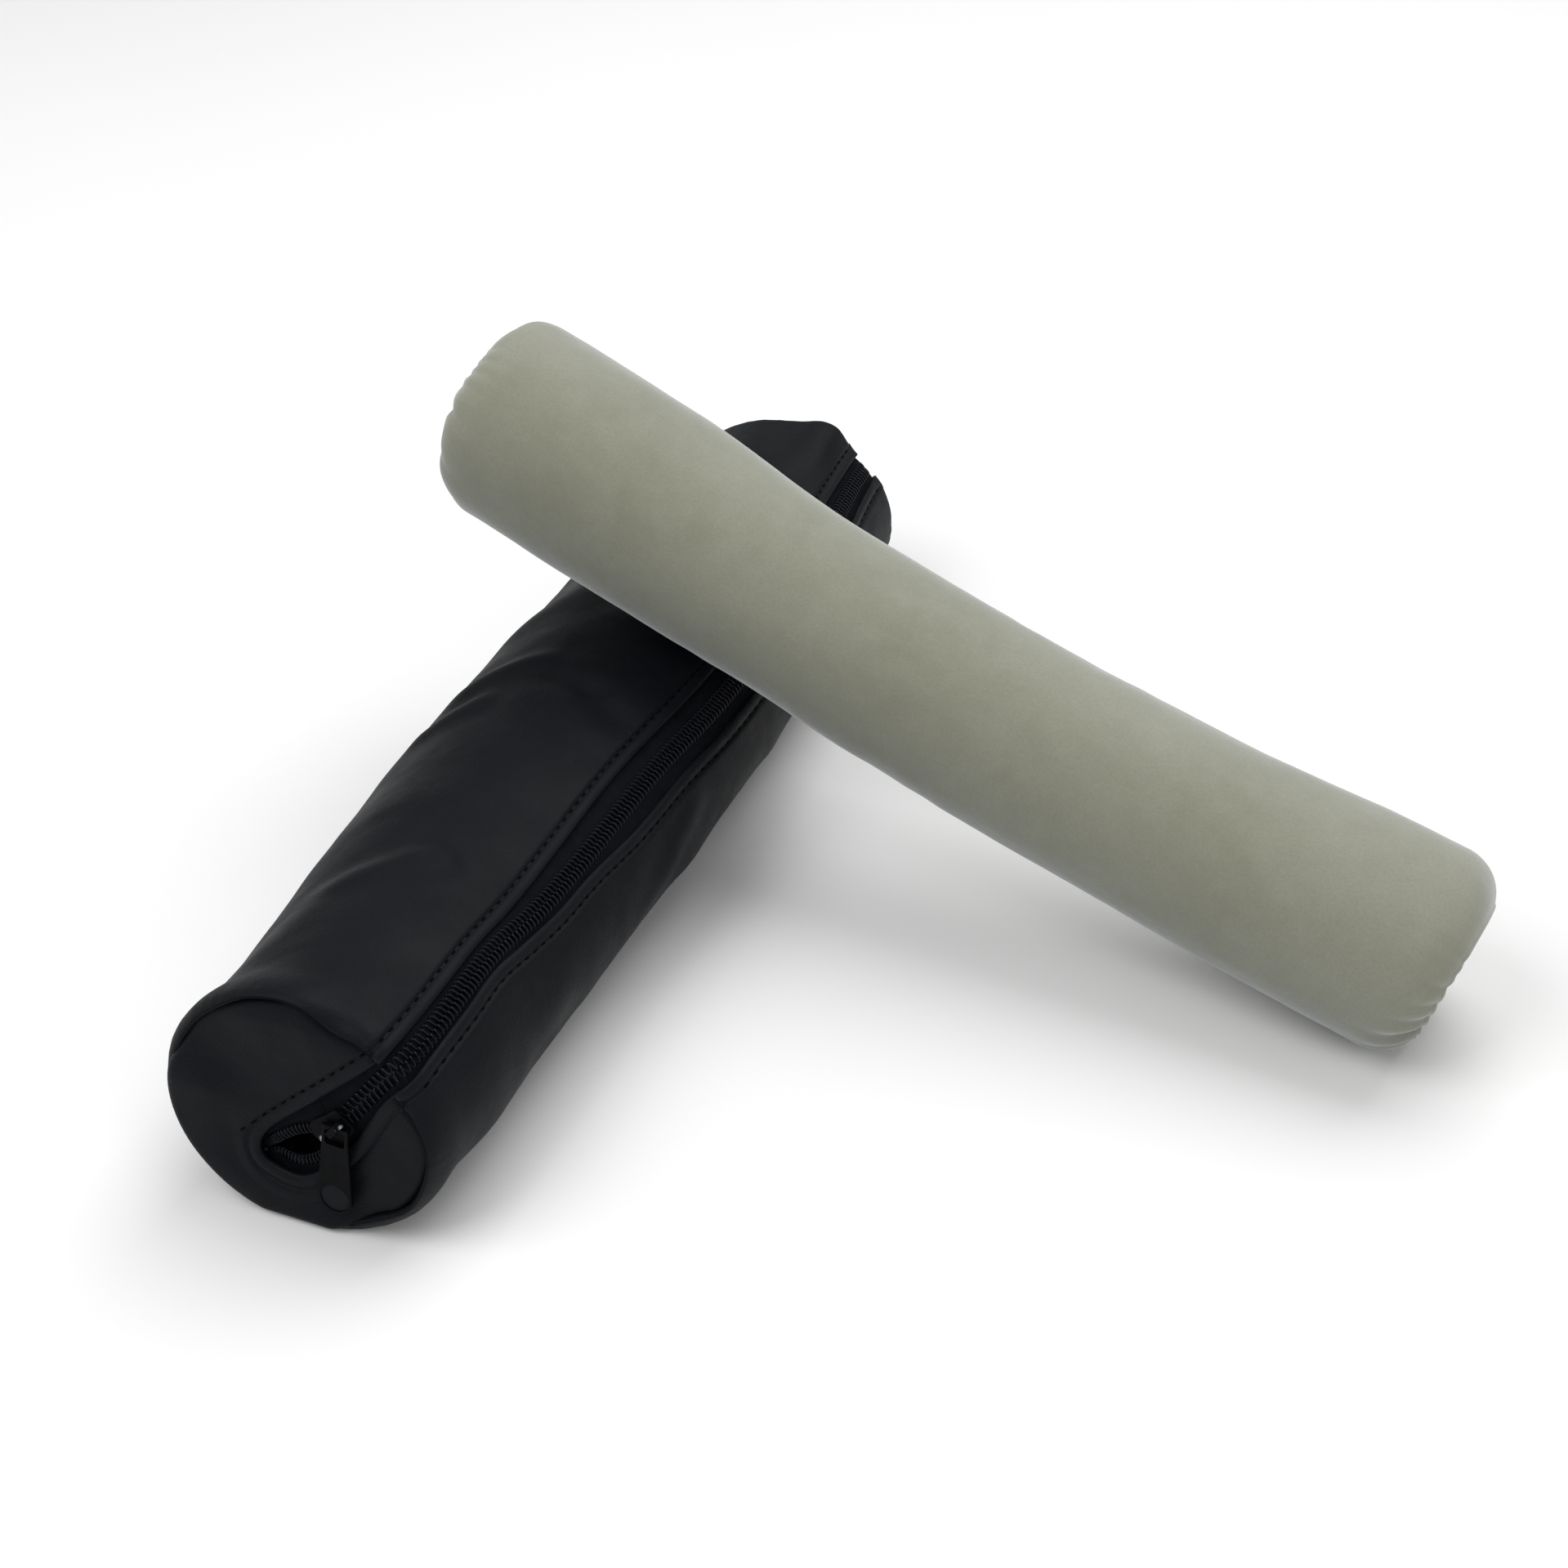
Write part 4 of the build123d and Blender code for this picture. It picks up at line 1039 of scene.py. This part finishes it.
def velvet_material(name="velvet"):
    m = Nodes(name)
    big = m.noise(14.0, 3.0)
    mid = m.noise(120.0, 4.0, 0.65)
    fine = m.noise(1500.0, 3.0, 0.7)
    col = m.ramp(big, [(0.30, lin("#8b8c7d")), (0.55, lin("#929385")), (0.78, lin("#999a8d"))])
    col = m.mix(m.to_range(mid, 0.35, 0.68, 0.0, 0.35), col, lin("#9fa093"))
    col = m.mix(m.to_range(fine, 0.35, 0.7, 0.0, 0.30), col, lin("#77796b"))
    # painted light and shade: the cover is painted lighter towards its top and darker and bluer on its lower side, as
    # the light from above falls on it
    nap = m.attr("nap")
    col = m.mix(1.0, col, m.ramp(nap, [(0.0, (0.66, 0.68, 0.73, 1)), (0.3, (0.80, 0.80, 0.80, 1)), (0.62, (0.92, 0.92, 0.88, 1)), (0.85, (1.0, 1.0, 0.98, 1)), (1.0, (1.1, 1.1, 1.12, 1))]), "MULTIPLY")
    n1 = m.bump(fine, 0.45, 0.00025)
    n2 = m.bump(mid, 0.22, 0.0008, n1)
    m.bsdf.inputs["Sheen Weight"].default_value = 0.7
    m.bsdf.inputs["Sheen Roughness"].default_value = 0.36
    m.bsdf.inputs["Sheen Tint"].default_value = (0.92, 0.95, 1.0, 1.0)
    m.bsdf.inputs["Specular IOR Level"].default_value = 0.12
    return m.finish(col, m.to_range(mid, 0.3, 0.7, 0.86, 0.97), n2)


def lining_material(name="lining_cloth"):
    m = Nodes(name)
    col = m.ramp(m.noise(200.0, 3.0), [(0.3, lin("#4c4e54")), (0.7, lin("#585a60"))])
    w1 = m.new("ShaderNodeTexWave", Scale=620.0)
    w1.bands_direction = "Y"
    w2 = m.new("ShaderNodeTexWave", Scale=620.0)
    w2.bands_direction = "DIAGONAL"
    for w in (w1, w2):
        m.link(m.coords.outputs["Object"], w.inputs["Vector"])
    n = m.bump(m.math("MULTIPLY", w1.outputs["Fac"], w2.outputs["Fac"]), 0.4, 0.00012)
    return m.finish(col, m.to_range(m.noise(400.0), 0.3, 0.7, 0.7, 0.85), n)


def foam_material():
    m = Nodes("foam_cells")
    col = m.ramp(m.noise(240.0, 4.0), [(0.3, lin("#b9b29a")), (0.7, lin("#cfc9b2"))])
    v = m.new("ShaderNodeTexVoronoi", Scale=900.0)
    m.link(m.coords.outputs["Object"], v.inputs["Vector"])
    n = m.bump(v.outputs["Distance"], 0.6, 0.0003)
    return m.finish(col, m.to_range(m.noise(600.0), 0.3, 0.7, 0.85, 0.95), n)


MAT = {
    "leather": leather_material(), "tape": tape_material(), "coil": coil_material(),
    "thread": thread_material(), "velvet": velvet_material(), "lining": lining_material(),
    "binding": lining_material("binding_tape"), "foam": foam_material(),
}


def dress(o, mat, slot, body, *nodes):
    if o.data.materials:
        o.data.materials[0] = mat
    else:
        o.data.materials.append(mat)
    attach(o, body)
    if nodes:
        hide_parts(*nodes)
    return o


# ================================================================ build the pouch
body = build_body()
solidify(body, 0.62)
dress(body, MAT["leather"], "leatherette", "pouch", "body_panel")



def front_inset(t):
    """How far the front panel's seam lies inside the form's outline; low down the leather rolls over it."""
    deg = np.degrees(t) % 360
    low = smooth01((deg - 150) / 22.0) * smooth01((318 - deg) / 34.0)
    plain = np.maximum(2.4 + np.maximum(wrap_of(t), 0.0) - stand_of(t) - 0.43 * puff_of(t) - seam_out(t), 0.25)
    return plain * (1 - low) + 0.45 * low


front_panel, front_edge = end_panel("pouch_front_panel", "front", FRONT_SLOT, front_inset)
solidify(front_panel, 0.62)
dress(front_panel, MAT["leather"], "leatherette", "pouch", "front_end_panel")

rear_panel, rear_edge = end_panel("pouch_rear_panel", "rear", REAR_SLOT, lambda t: 2.15 - rear_swell(t))
solidify(rear_panel, 0.62)
dress(rear_panel, MAT["leather"], "leatherette", "pouch", "rear_end_panel")

for sign, word in ((1, "left"), (-1, "right")):
    dress(coil_mesh(f"coil_{word}", sign), MAT["coil"], "coil_nylon", "pouch", f"zipper_coil_{word}")
    dress(coil_mesh(f"open_coil_{word}", sign, part="mouth"), MAT["coil"], "coil_nylon", "pouch", f"mouth_coil_{word}")
    dress(tape_mesh(f"woven_tape_{word}", sign), MAT["tape"], "zipper_tape", "pouch", f"zipper_tape_{word}")
    dress(tape_mesh(f"open_tape_{word}", sign, part="mouth"), MAT["tape"], "zipper_tape", "pouch", f"mouth_tape_{word}")


# ---------------------------------------------------------------- topstitching
def tree_of(o):
    co = np.zeros(len(o.data.vertices) * 3, np.float32)
    o.data.vertices.foreach_get("co", co)
    return BVHTree.FromPolygons((co.reshape(-1, 3) / MM).tolist(), [tuple(q.vertices) for q in o.data.polygons])


def settle(tree, p, n, reach=7.0):
    """The point of the leather over or under p, along n, and the leather's normal there."""
    hit, normal, _, _ = tree.ray_cast(Vector(p + n * reach), Vector(-n), 2 * reach)
    if hit is None:
        return p, n
    normal = np.array(normal)
    return np.array(hit), normal if normal @ n > 0 else -normal


def body_stitches():
    frames = []
    tree = tree_of(body)
    for sign, line in ((1, SLIT_L), (-1, SLIT_R)):
        y = np.arange(front_y(52) + 2.6, REAR_Y - 2.4, 0.1)
        t = angle_at(y, spline(line, y))
        t = t + sign * 3.5 / metric(y, t)
        base = surf(y, t, 0.0)
        a, cx, b, zc = section(y)
        n = unit(np.stack([np.cos(t) / a, 0 * t, np.sin(t) / b], -1))
        P, s, NN = resample(base, 0.1, n)
        pos = np.arange(1.4, s[-1] - 1.0, 3.85)
        rng = np.random.default_rng(7 if sign > 0 else 8)
        for p in pos:
            k = int(p / 0.1)
            if k < 2 or k > len(P) - 3:
                continue
            here, out = settle(tree, P[k], unit(NN[k]), 7.0)
            out = unit(0.5 * out + unit(NN[k]))
            frames.append((here + out * 0.02, P[k + 2] - P[k - 2] + rng.normal(0, 0.006, 3), out, 1 + rng.normal(0, 0.04)))
    return frames


def panel_stitches(side, info, panel, gap=3.4):
    frames = []
    tree = tree_of(panel)
    n_out = FRONT_N if side == "front" else REAR_N
    line = info["xz"] + info["nrm"] * gap
    qv = (line - RIM) @ QD
    uv = (line - RIM) @ UD
    end_q = -48.3 if side == "front" else -51.0
    up, low = np.argmax(qv < end_q + 8.0), len(qv) - 1 - np.argmax(qv[::-1] < end_q + 8.5)
    corner = lambda k: RIM + end_q * QD + uv[k] * UD
    if side == "front":
        # the row ends with a short turn down beside the mouth
        line = np.concatenate([line[:up + 1], [corner(up), corner(up) - 4.6 * UD]])
    else:
        line = np.concatenate([line[:up + 1], [corner(up), corner(low)], line[low:]])
    y = front_y(line[:, 1]) if side == "front" else np.full(len(line), REAR_Y)
    P = np.stack([line[:, 0], y, line[:, 1]], -1)
    P, s = resample(P, 0.1)
    rng = np.random.default_rng(9)
    for p in np.arange(2.8, s[-1] - 2.0, 3.7):
        k = int(p / 0.1)
        if k < 2 or k > len(P) - 3:
            continue
        here, out = settle(tree, P[k], n_out)
        ahead = settle(tree, P[k + 2], n_out)[0] - settle(tree, P[k - 2], n_out)[0]
        out = unit(0.5 * out + n_out)
        frames.append((here + out * 0.02, ahead + rng.normal(0, 0.006, 3), out, 1 + rng.normal(0, 0.04)))
    return frames


stitches = stitch_mesh("topstitch", body_stitches() + panel_stitches("front", front_edge, front_panel) + panel_stitches("rear", rear_edge, rear_panel), length=2.0, radius=0.2)
dress(stitches, MAT["thread"], "thread", "pouch", "topstitch_thread")

# ---------------------------------------------------------------- linings and bindings
LINING_FRONT = [(12, 14.5), (4, 14.5), (-20, 14.5), (-44, 14.5), (-48.5, 13.5), (-50, 10), (-50, 0), (-50, -11),
                (-48.5, -14.5), (-44, -15.5), (-20, -15.5), (4, -15.5), (12, -15.5)]
LINING_REAR = [(12, 14.5), (4, 14.5), (-20, 14.5), (-47, 14.5), (-51.5, 13.3), (-53, 10), (-53, 0), (-53, -10),
               (-51.5, -13.3), (-47, -14.5), (-20, -14.5), (4, -14.5), (12, -14.5)]


def build_lining():
    n_rows, n_cols = 150, 140
    f = np.linspace(0, 1, n_rows)
    g = np.linspace(0, 1, n_cols)
    Y = np.broadcast_to((FRONT_Y + 8 + f * (REAR_Y - FRONT_Y - 11))[:, None], (n_rows, n_cols)).copy()
    for _ in range(4):
        tl = angle_at(Y[:, 0], u_chain(Y[:, 0]) + 14.6)
        tr = angle_at(Y[:, -1], u_chain(Y[:, -1]) - 15.0) + 2 * math.pi
        T = tl[:, None] + (tr - tl)[:, None] * g[None, :]
        yf = front_y(surf(Y, T, 2.4)[..., 2]) + 3.2
        Y = yf + f[:, None] * (REAR_Y - 3.2 - yf)
    depth = 2.45 + 0.28 * (1 + fractal(Y / 15.0, T * 3.0, 0.7, 91, 3))
    P = surf(Y, T, depth)
    o = make_mesh("body_lining_cloth", P.reshape(-1, 3), grid_faces(n_rows, n_cols, flip=True))
    solidify(o, 0.3)
    return o


dress(build_lining(), MAT["lining"], "lining_cloth", "pouch", "body_lining")
o, _ = end_panel("front_lining_cloth", "front", LINING_FRONT, lambda t: 2.9 + 0 * t, lip=False, drop=2.45, n_between=14, step=1.6, dents=False, groove=False)
solidify(o, 0.3)
dress(o, MAT["lining"], "lining_cloth", "pouch", "front_end_lining")
o, _ = end_panel("rear_lining_cloth", "rear", LINING_REAR, lambda t: 2.9 + 0 * t, lip=False, drop=2.45, n_between=14, step=1.6, dents=False, groove=False)
solidify(o, 0.3)
dress(o, MAT["lining"], "lining_cloth", "pouch", "rear_end_lining")


def build_binding(name, side):
    """Folded woven tape around the seam allowance: a rounded band around the inside of the end."""
    prof = []
    for k in range(16):
        a = 2 * math.pi * k / 16
        ca, sa = math.cos(a), math.sin(a)
        prof.append((1.7 * math.copysign(abs(ca) ** 0.45, ca), 0.72 * math.copysign(abs(sa) ** 0.6, sa)))
    n = 240
    y0 = -158.0 if side == "front" else REAR_Y - 5
    t0 = angle_at(y0, 15.2)
    t1 = angle_at(y0, -15.8) + 2 * math.pi
    t = np.linspace(float(t0), float(t1), n)
    rows = []
    for dy, dd in prof:
        y = np.full(n, y0)
        for _ in range(3):
            p = surf(y, t, 3.95 + dd)
            if side == "front":
                y = front_y(p[:, 2]) + 3.1 + 1.75 + dy
            else:
                y = np.full(n, REAR_Y - 3.1 - 1.75 + dy)
        rows.append(p + 0)
        rows[-1][:, 1] = y
    P = np.stack(rows, 1)
    faces = grid_faces(n, 16, wrap=True).tolist()
    faces.append(list(range(16))[::-1])
    faces.append([(n - 1) * 16 + i for i in range(16)])
    return make_mesh(name, P.reshape(-1, 3), faces)


dress(build_binding("front_binding_tape", "front"), MAT["binding"], "binding_tape", "pouch", "front_seam_binding")
dress(build_binding("rear_binding_tape", "rear"), MAT["binding"], "binding_tape", "pouch", "rear_seam_binding")

# ---------------------------------------------------------------- slider and pull
slider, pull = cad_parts["zipper_slider"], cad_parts["slider_pull"]
DISC = (11.9, -165.3, 12.0, 3.75)
SPOTS = [(15.3, -163.5, 34.78, 0.75), (8.85, -162.7, 28.0, 0.95), (14.24, -164.48, 34.24, 0.26),
         (13.4, -164.62, 33.4, 0.24), (12.52, -164.73, 32.52, 0.22), (11.5, -164.6, 31.4, 0.22),
         (10.5, -164.2, 30.3, 0.24), (9.6, -163.5, 29.2, 0.3)]
slider_mat = metal_material("slider_enamel", SPOTS)
pull_mat = metal_material("pull_enamel", disc=DISC)
for node, mat in ((slider, slider_mat), (pull, pull_mat)):
    node.data.materials.clear()
    node.data.materials.append(mat)
    m = node.modifiers.new("round", "BEVEL")
    m.width = 0.00012
    m.segments = 2
    m.limit_method = "ANGLE"
    m.angle_limit = math.radians(35)
    m.harden_normals = False

# ================================================================ padded roll
ROLL_A, ROLL_B = np.array([-47.9, 43.2, 112.9]), np.array([247.0, 3.25, 25.35])
ROLL_LEN = np.linalg.norm(ROLL_B - ROLL_A)
ROLL_AX = (ROLL_B - ROLL_A) / ROLL_LEN
ROLL_SIDE = unit(np.cross(ROLL_AX, np.array([0, 0, 1.0])))
ROLL_DOWN = np.cross(ROLL_AX, ROLL_SIDE)
if ROLL_DOWN[2] > 0:
    ROLL_DOWN = -ROLL_DOWN
ROLL_SIDE = np.cross(ROLL_DOWN, ROLL_AX)
ROLL_MID = (ROLL_A + ROLL_B) / 2
ROLL_R, ROLL_CORNER, DISC_R = 28.7, 12.0, 19.0
ROLL_SECTIONS = [(-0.9228, 1, 0), (-0.84, 1, 0.25), (-0.70, 0.996, 1.1), (-0.56, 0.985, 2.6),
                 (-0.45, 0.955, 4.1), (-0.33, 0.918, 5.3), (-0.15, 0.918, 6.5), (0.03, 0.925, 6.9),
                 (0.25, 0.930, 6.4), (0.42, 0.938, 5.5), (0.60, 0.958, 4.2), (0.76, 0.985, 2.2),
                 (0.86, 0.997, 0.8), (0.9228, 1, 0)]


def roll_at(p):
    pc = np.clip(p, -0.9228, 0.9228)
    k = spline([(a, b) for a, b, _ in ROLL_SECTIONS], pc)
    sag = spline([(a, c) for a, _, c in ROLL_SECTIONS], pc)
    return k, sag


def roll_surface(x, r, th):
    """x mm from the middle along the axis, r radius, th angle about it."""
    k, sag = roll_at(x / (ROLL_LEN / 2))
    c = ROLL_MID + x[..., None] * ROLL_AX + sag[..., None] * ROLL_DOWN
    return c + (r * k)[..., None] * (np.cos(th)[..., None] * ROLL_SIDE + np.sin(th)[..., None] * (-ROLL_DOWN))


# gathers around each end: angle, half width (degrees) and depth
PUCKERS = {
    2.0: [(22, 5, 0.75), (43, 4, 0.35), (54, 4, 0.6), (63, 3.5, 0.55), (73, 4, 0.4), (96, 6, 0.25), (132, 8, 0.5),
          (165, 7, 0.6), (200, 8, 0.7), (232, 8, 0.5), (262, 8, 0.7), (295, 7, 0.6), (322, 7, 0.5), (350, 6, 0.4)],
    5.0: [(341, 5, 1.0), (322, 5, 0.55), (358, 4, 0.45), (11, 4, 0.5), (25, 4.5, 0.6), (37, 3.5, 0.35),
          (48, 3.5, 0.3), (150, 8, 0.4), (180, 8, 0.6), (208, 7, 0.5), (236, 8, 0.6), (265, 7, 0.5), (297, 7, 0.7)],
}


def pucker(th, seed):
    """Uneven gathers around an end, about -1.5 to 0.5."""
    deg = np.degrees(th) % 360
    out = 0.3 + 0.12 * noise(np.cos(th) * 3.1, np.sin(th) * 3.1, seed, 63)
    for at, wide, deep in PUCKERS[seed]:
        d = np.abs((deg - at + 180) % 360 - 180) / wide
        out = out - 1.15 * deep * np.exp(-d * d) + 0.25 * deep * np.exp(-((d - 2.0) / 1.1) ** 2)
    return out


def build_sleeve(name, inset=0.0, detail=True):
    half = ROLL_LEN / 2
    n_th = 288 if detail else 96
    th = np.linspace(0, 2 * math.pi, n_th, endpoint=False)
    rows = []
    # left end: from the seam ring out over the corner
    corner = ROLL_CORNER
    seam = [(0.9, DISC_R - 0.4), (0.35, DISC_R + 0.15), (0.02, DISC_R + 0.8)] if detail else []
    arc = np.radians(np.linspace(0, 90, 16))
    prof = list(seam)
    for a in arc:
        r = ROLL_R - corner + corner * math.sin(a)
        x = corner * (1 - math.cos(a))
        if r > DISC_R + 0.9:
            prof.append((x, r))
    body_x = np.arange(corner + 1.6, 2 * half - corner - 0.8, 1.9)
    left = [(-half + x, r, 1 - x / corner) for x, r in prof]
    mid = [(-half + x, ROLL_R, 0.0) for x in body_x]
    right = [(half - x, r, 1 - x / corner) for x, r in reversed(prof)]
    allp = left + mid + right
    X = np.array([p[0] for p in allp])[:, None] + 0 * th[None, :]
    RR = np.array([p[1] for p in allp])[:, None] + 0 * th[None, :]
    E = np.array([max(p[2], 0.0) for p in allp])[:, None] + 0 * th[None, :]
    TH = th[None, :] + 0 * X
    w = np.zeros_like(X)
    if detail:
        d_end = half - np.abs(X)
        is_left = X < 0
        pk = np.where(is_left, pucker(TH, 2.0), pucker(TH, 5.0))
        # gathers: deep at the seam, running out a little past the corner
        reach = np.exp(-(np.maximum(d_end - 1.0, 0) / 9.0) ** 2)
        w += 0.95 * (pk - 0.3) * reach
        # the right end is softer and more scalloped
        w += np.where(is_left, 0, 0.22) * np.exp(-(d_end / 11.0) ** 2) * np.sin(5 * TH + 1.0)
        # the left end's upper corner is fuller
        w += np.where(is_left, 1, 0) * 2.0 * np.exp(-((np.degrees(TH) - 98) / 24.0) ** 2) * np.exp(-((d_end - 5.0) / 6.0) ** 2)
        # soft unevenness of the stuffing under the cloth
        bx, by = np.cos(TH) * 1.3, np.sin(TH) * 1.3
        w += 0.34 * fractal(X / 38.0, bx, by, 61, 2)
        w += 0.10 * fractal(X / 12.0, bx * 2.5, by * 2.5, 67, 2)
        # faint rings where the cloth is squeezed at the waist
        mid_w = smooth01((0.52 - np.abs(X / half + 0.02)) / 0.15)
        w += 0.16 * mid_w * noise(X / 6.0, bx * 0.6, by * 0.6, 75)
    w -= inset
    P = roll_surface(X, RR + w, TH)
    if detail:
        # gathers also move the end along the axis
        d_end = half - np.abs(X)
        sgn = np.sign(X)
        pk = np.where(X < 0, pucker(TH, 2.0), pucker(TH, 5.0))
        shift = 0.65 * (pk - 0.3) * np.exp(-(d_end / 7.0) ** 2)
        P = P + (sgn * shift)[..., None] * ROLL_AX
    P[..., 2] = np.maximum(P[..., 2], 0.12)
    rows_n = len(allp)
    faces = grid_faces(rows_n, n_th, wrap=True)
    o = make_mesh(name, P.reshape(-1, 3), faces)
    # painted light: a mask lighter towards the top of the cover and darker below, for the material
    attribute(o, "nap", 0.5 + 0.5 * np.cos(TH - math.radians(112)))
    return o


def build_disc(name, side):
    """The sewn-in end: a slightly domed disc whose edge dips into the seam."""
    half = ROLL_LEN / 2
    n_th, n_r = 144, 26
    th = np.linspace(0, 2 * math.pi, n_th, endpoint=False)
    fr = np.linspace(0, 1, n_r)[1:] ** 0.8
    r = fr[:, None] * (DISC_R + 0.1) + 0 * th[None, :]
    TH = th[None, :] + 0 * r
    dome = 0.35 * (1 - fr[:, None] ** 2) + 0 * TH
    dip = -1.15 * smooth01((fr[:, None] - 0.90) / 0.10) + 0 * TH
    pk = pucker(TH, 2.0 if side < 0 else 5.0)
    ruck = 0.22 * pk * smooth01((fr[:, None] - 0.55) / 0.4)
    rumple = 0.18 * fractal(r * np.cos(TH) / 9.0, r * np.sin(TH) / 9.0, side * 2.0, 83, 2)
    x = side * (half - 0.55 + dome + dip + ruck + rumple)
    P = roll_surface(x, r, TH)
    centre = roll_surface(np.array([side * (half - 0.2)]), np.array([0.0]), np.array([0.0]))
    P = np.concatenate([P.reshape(-1, 3), centre])
    faces = grid_faces(n_r - 1, n_th, wrap=True, flip=(side < 0)).tolist()
    c = len(P) - 1
    for j in range(n_th):
        j2 = (j + 1) % n_th
        faces.append((c, j2, j) if side > 0 else (c, j, j2))
    o = make_mesh(name, P, faces)
    # painted light over the end disc too: lighter towards its top, darker below
    disc_light_side = fr[:, None] * np.cos(TH - math.radians(112))
    attribute(o, "nap", np.append((0.5 + 0.5 * disc_light_side).ravel(), 0.5))
    return o


sleeve = build_sleeve("velvet_cover")
solidify(sleeve, 0.7)
dress(sleeve, MAT["velvet"], "velvet", "roll", "velvet_sleeve")
for side, word in ((-1, "left"), (1, "right")):
    d = build_disc(f"{word}_velvet_disc", side)
    solidify(d, 0.7)
    dress(d, MAT["velvet"], "velvet", "roll", f"{word}_end_disc")


def build_foam():
    half = ROLL_LEN / 2 - 1.6
    n_th = 96
    th = np.linspace(0, 2 * math.pi, n_th, endpoint=False)
    prof = [(0.0, 0.5), (0.0, 6.0), (0.0, 12.0)]
    for a in np.radians(np.linspace(0, 90, 9)):
        prof.append((10.6 * (1 - math.cos(a)), 16.2 + 10.6 * math.sin(a)))
    xs = [(-half + x, r) for x, r in prof] + [(x, 26.8) for x in np.arange(-half + 13, half - 12.5, 4.0)] + [(half - x, r) for x, r in reversed(prof)]
    X = np.array([p[0] for p in xs])[:, None] + 0 * th[None, :]
    RR = np.array([p[1] for p in xs])[:, None] + 0 * th[None, :]
    TH = th[None, :] + 0 * X
    RR = RR + 0.15 * fractal(X / 9.0, np.cos(TH) * 3, np.sin(TH) * 3, 97, 3) - 0.2
    P = roll_surface(X, RR, TH)
    rows_n = len(xs)
    faces = grid_faces(rows_n, n_th, wrap=True).tolist()
    faces.append(list(range(n_th))[::-1])
    faces.append([(rows_n - 1) * n_th + i for i in range(n_th)])
    return make_mesh("foam_filling", P.reshape(-1, 3), faces)


foam = dress(build_foam(), MAT["foam"], "foam", "roll", "foam_core")

# ================================================================ stage, light, camera
floor = bpy.data.meshes.new("floor")
s = 6.0
floor.from_pydata([(-s, -s, 0), (s, -s, 0), (s, s, 0), (-s, s, 0)], [], [(0, 1, 2, 3)])
floor_o = bpy.data.objects.new("floor", floor)
bpy.context.scene.collection.objects.link(floor_o)
fm = Nodes("floor_white")
fcol = fm.ramp(fm.noise(2.0, 2.0), [(0.3, (0.93, 0.93, 0.93)), (0.7, (0.95, 0.95, 0.95))])
floor.materials.append(fm.finish(fcol, None, None, Roughness=0.9))
fm.bsdf.inputs["Specular IOR Level"].default_value = 0.1

world = bpy.data.worlds.new("studio")
bpy.context.scene.world = world
world.use_nodes = True
world.node_tree.nodes["Background"].inputs[0].default_value = (1.0, 1.0, 1.0, 1.0)
world.node_tree.nodes["Background"].inputs[1].default_value = 0.42


def area(name, loc, target, size, power, color=(1, 1, 1)):
    l = bpy.data.lights.new(name, "AREA")
    l.shape = "RECTANGLE"
    l.size, l.size_y = size
    l.energy = power
    l.color = color
    o = bpy.data.objects.new(name, l)
    o.location = loc
    o.rotation_mode = "QUATERNION"
    o.rotation_quaternion = (Vector(target) - Vector(loc)).to_track_quat("-Z", "Y")
    bpy.context.scene.collection.objects.link(o)
    return o


area("key", (-0.55, -0.75, 1.25), (0.08, 0, 0.05), (0.9, 0.9), 9.2)
area("top", (0.25, 0.65, 1.35), (0.08, 0, 0.04), (1.2, 1.2), 13.0)
area("side", (1.3, -0.5, 0.7), (0.08, 0, 0.05), (0.8, 0.8), 2.2)

cam_data = bpy.data.cameras.new("camera")
cam = bpy.data.objects.new("camera", cam_data)
bpy.context.scene.collection.objects.link(cam)
cam.location = (0.2676, -0.5129, 0.4362)
cam.rotation_mode = "QUATERNION"
cam.rotation_quaternion = Vector((-0.3023, 0.7521, -0.5855)).to_track_quat("-Z", "Y")
cam_data.sensor_width = 36.0
cam_data.lens = 56.28
cam_data.clip_start, cam_data.clip_end = 0.01, 50.0
bpy.context.scene.camera = cam
bpy.context.scene.view_settings.view_transform = "Standard"
bpy.context.scene.view_settings.look = "None"
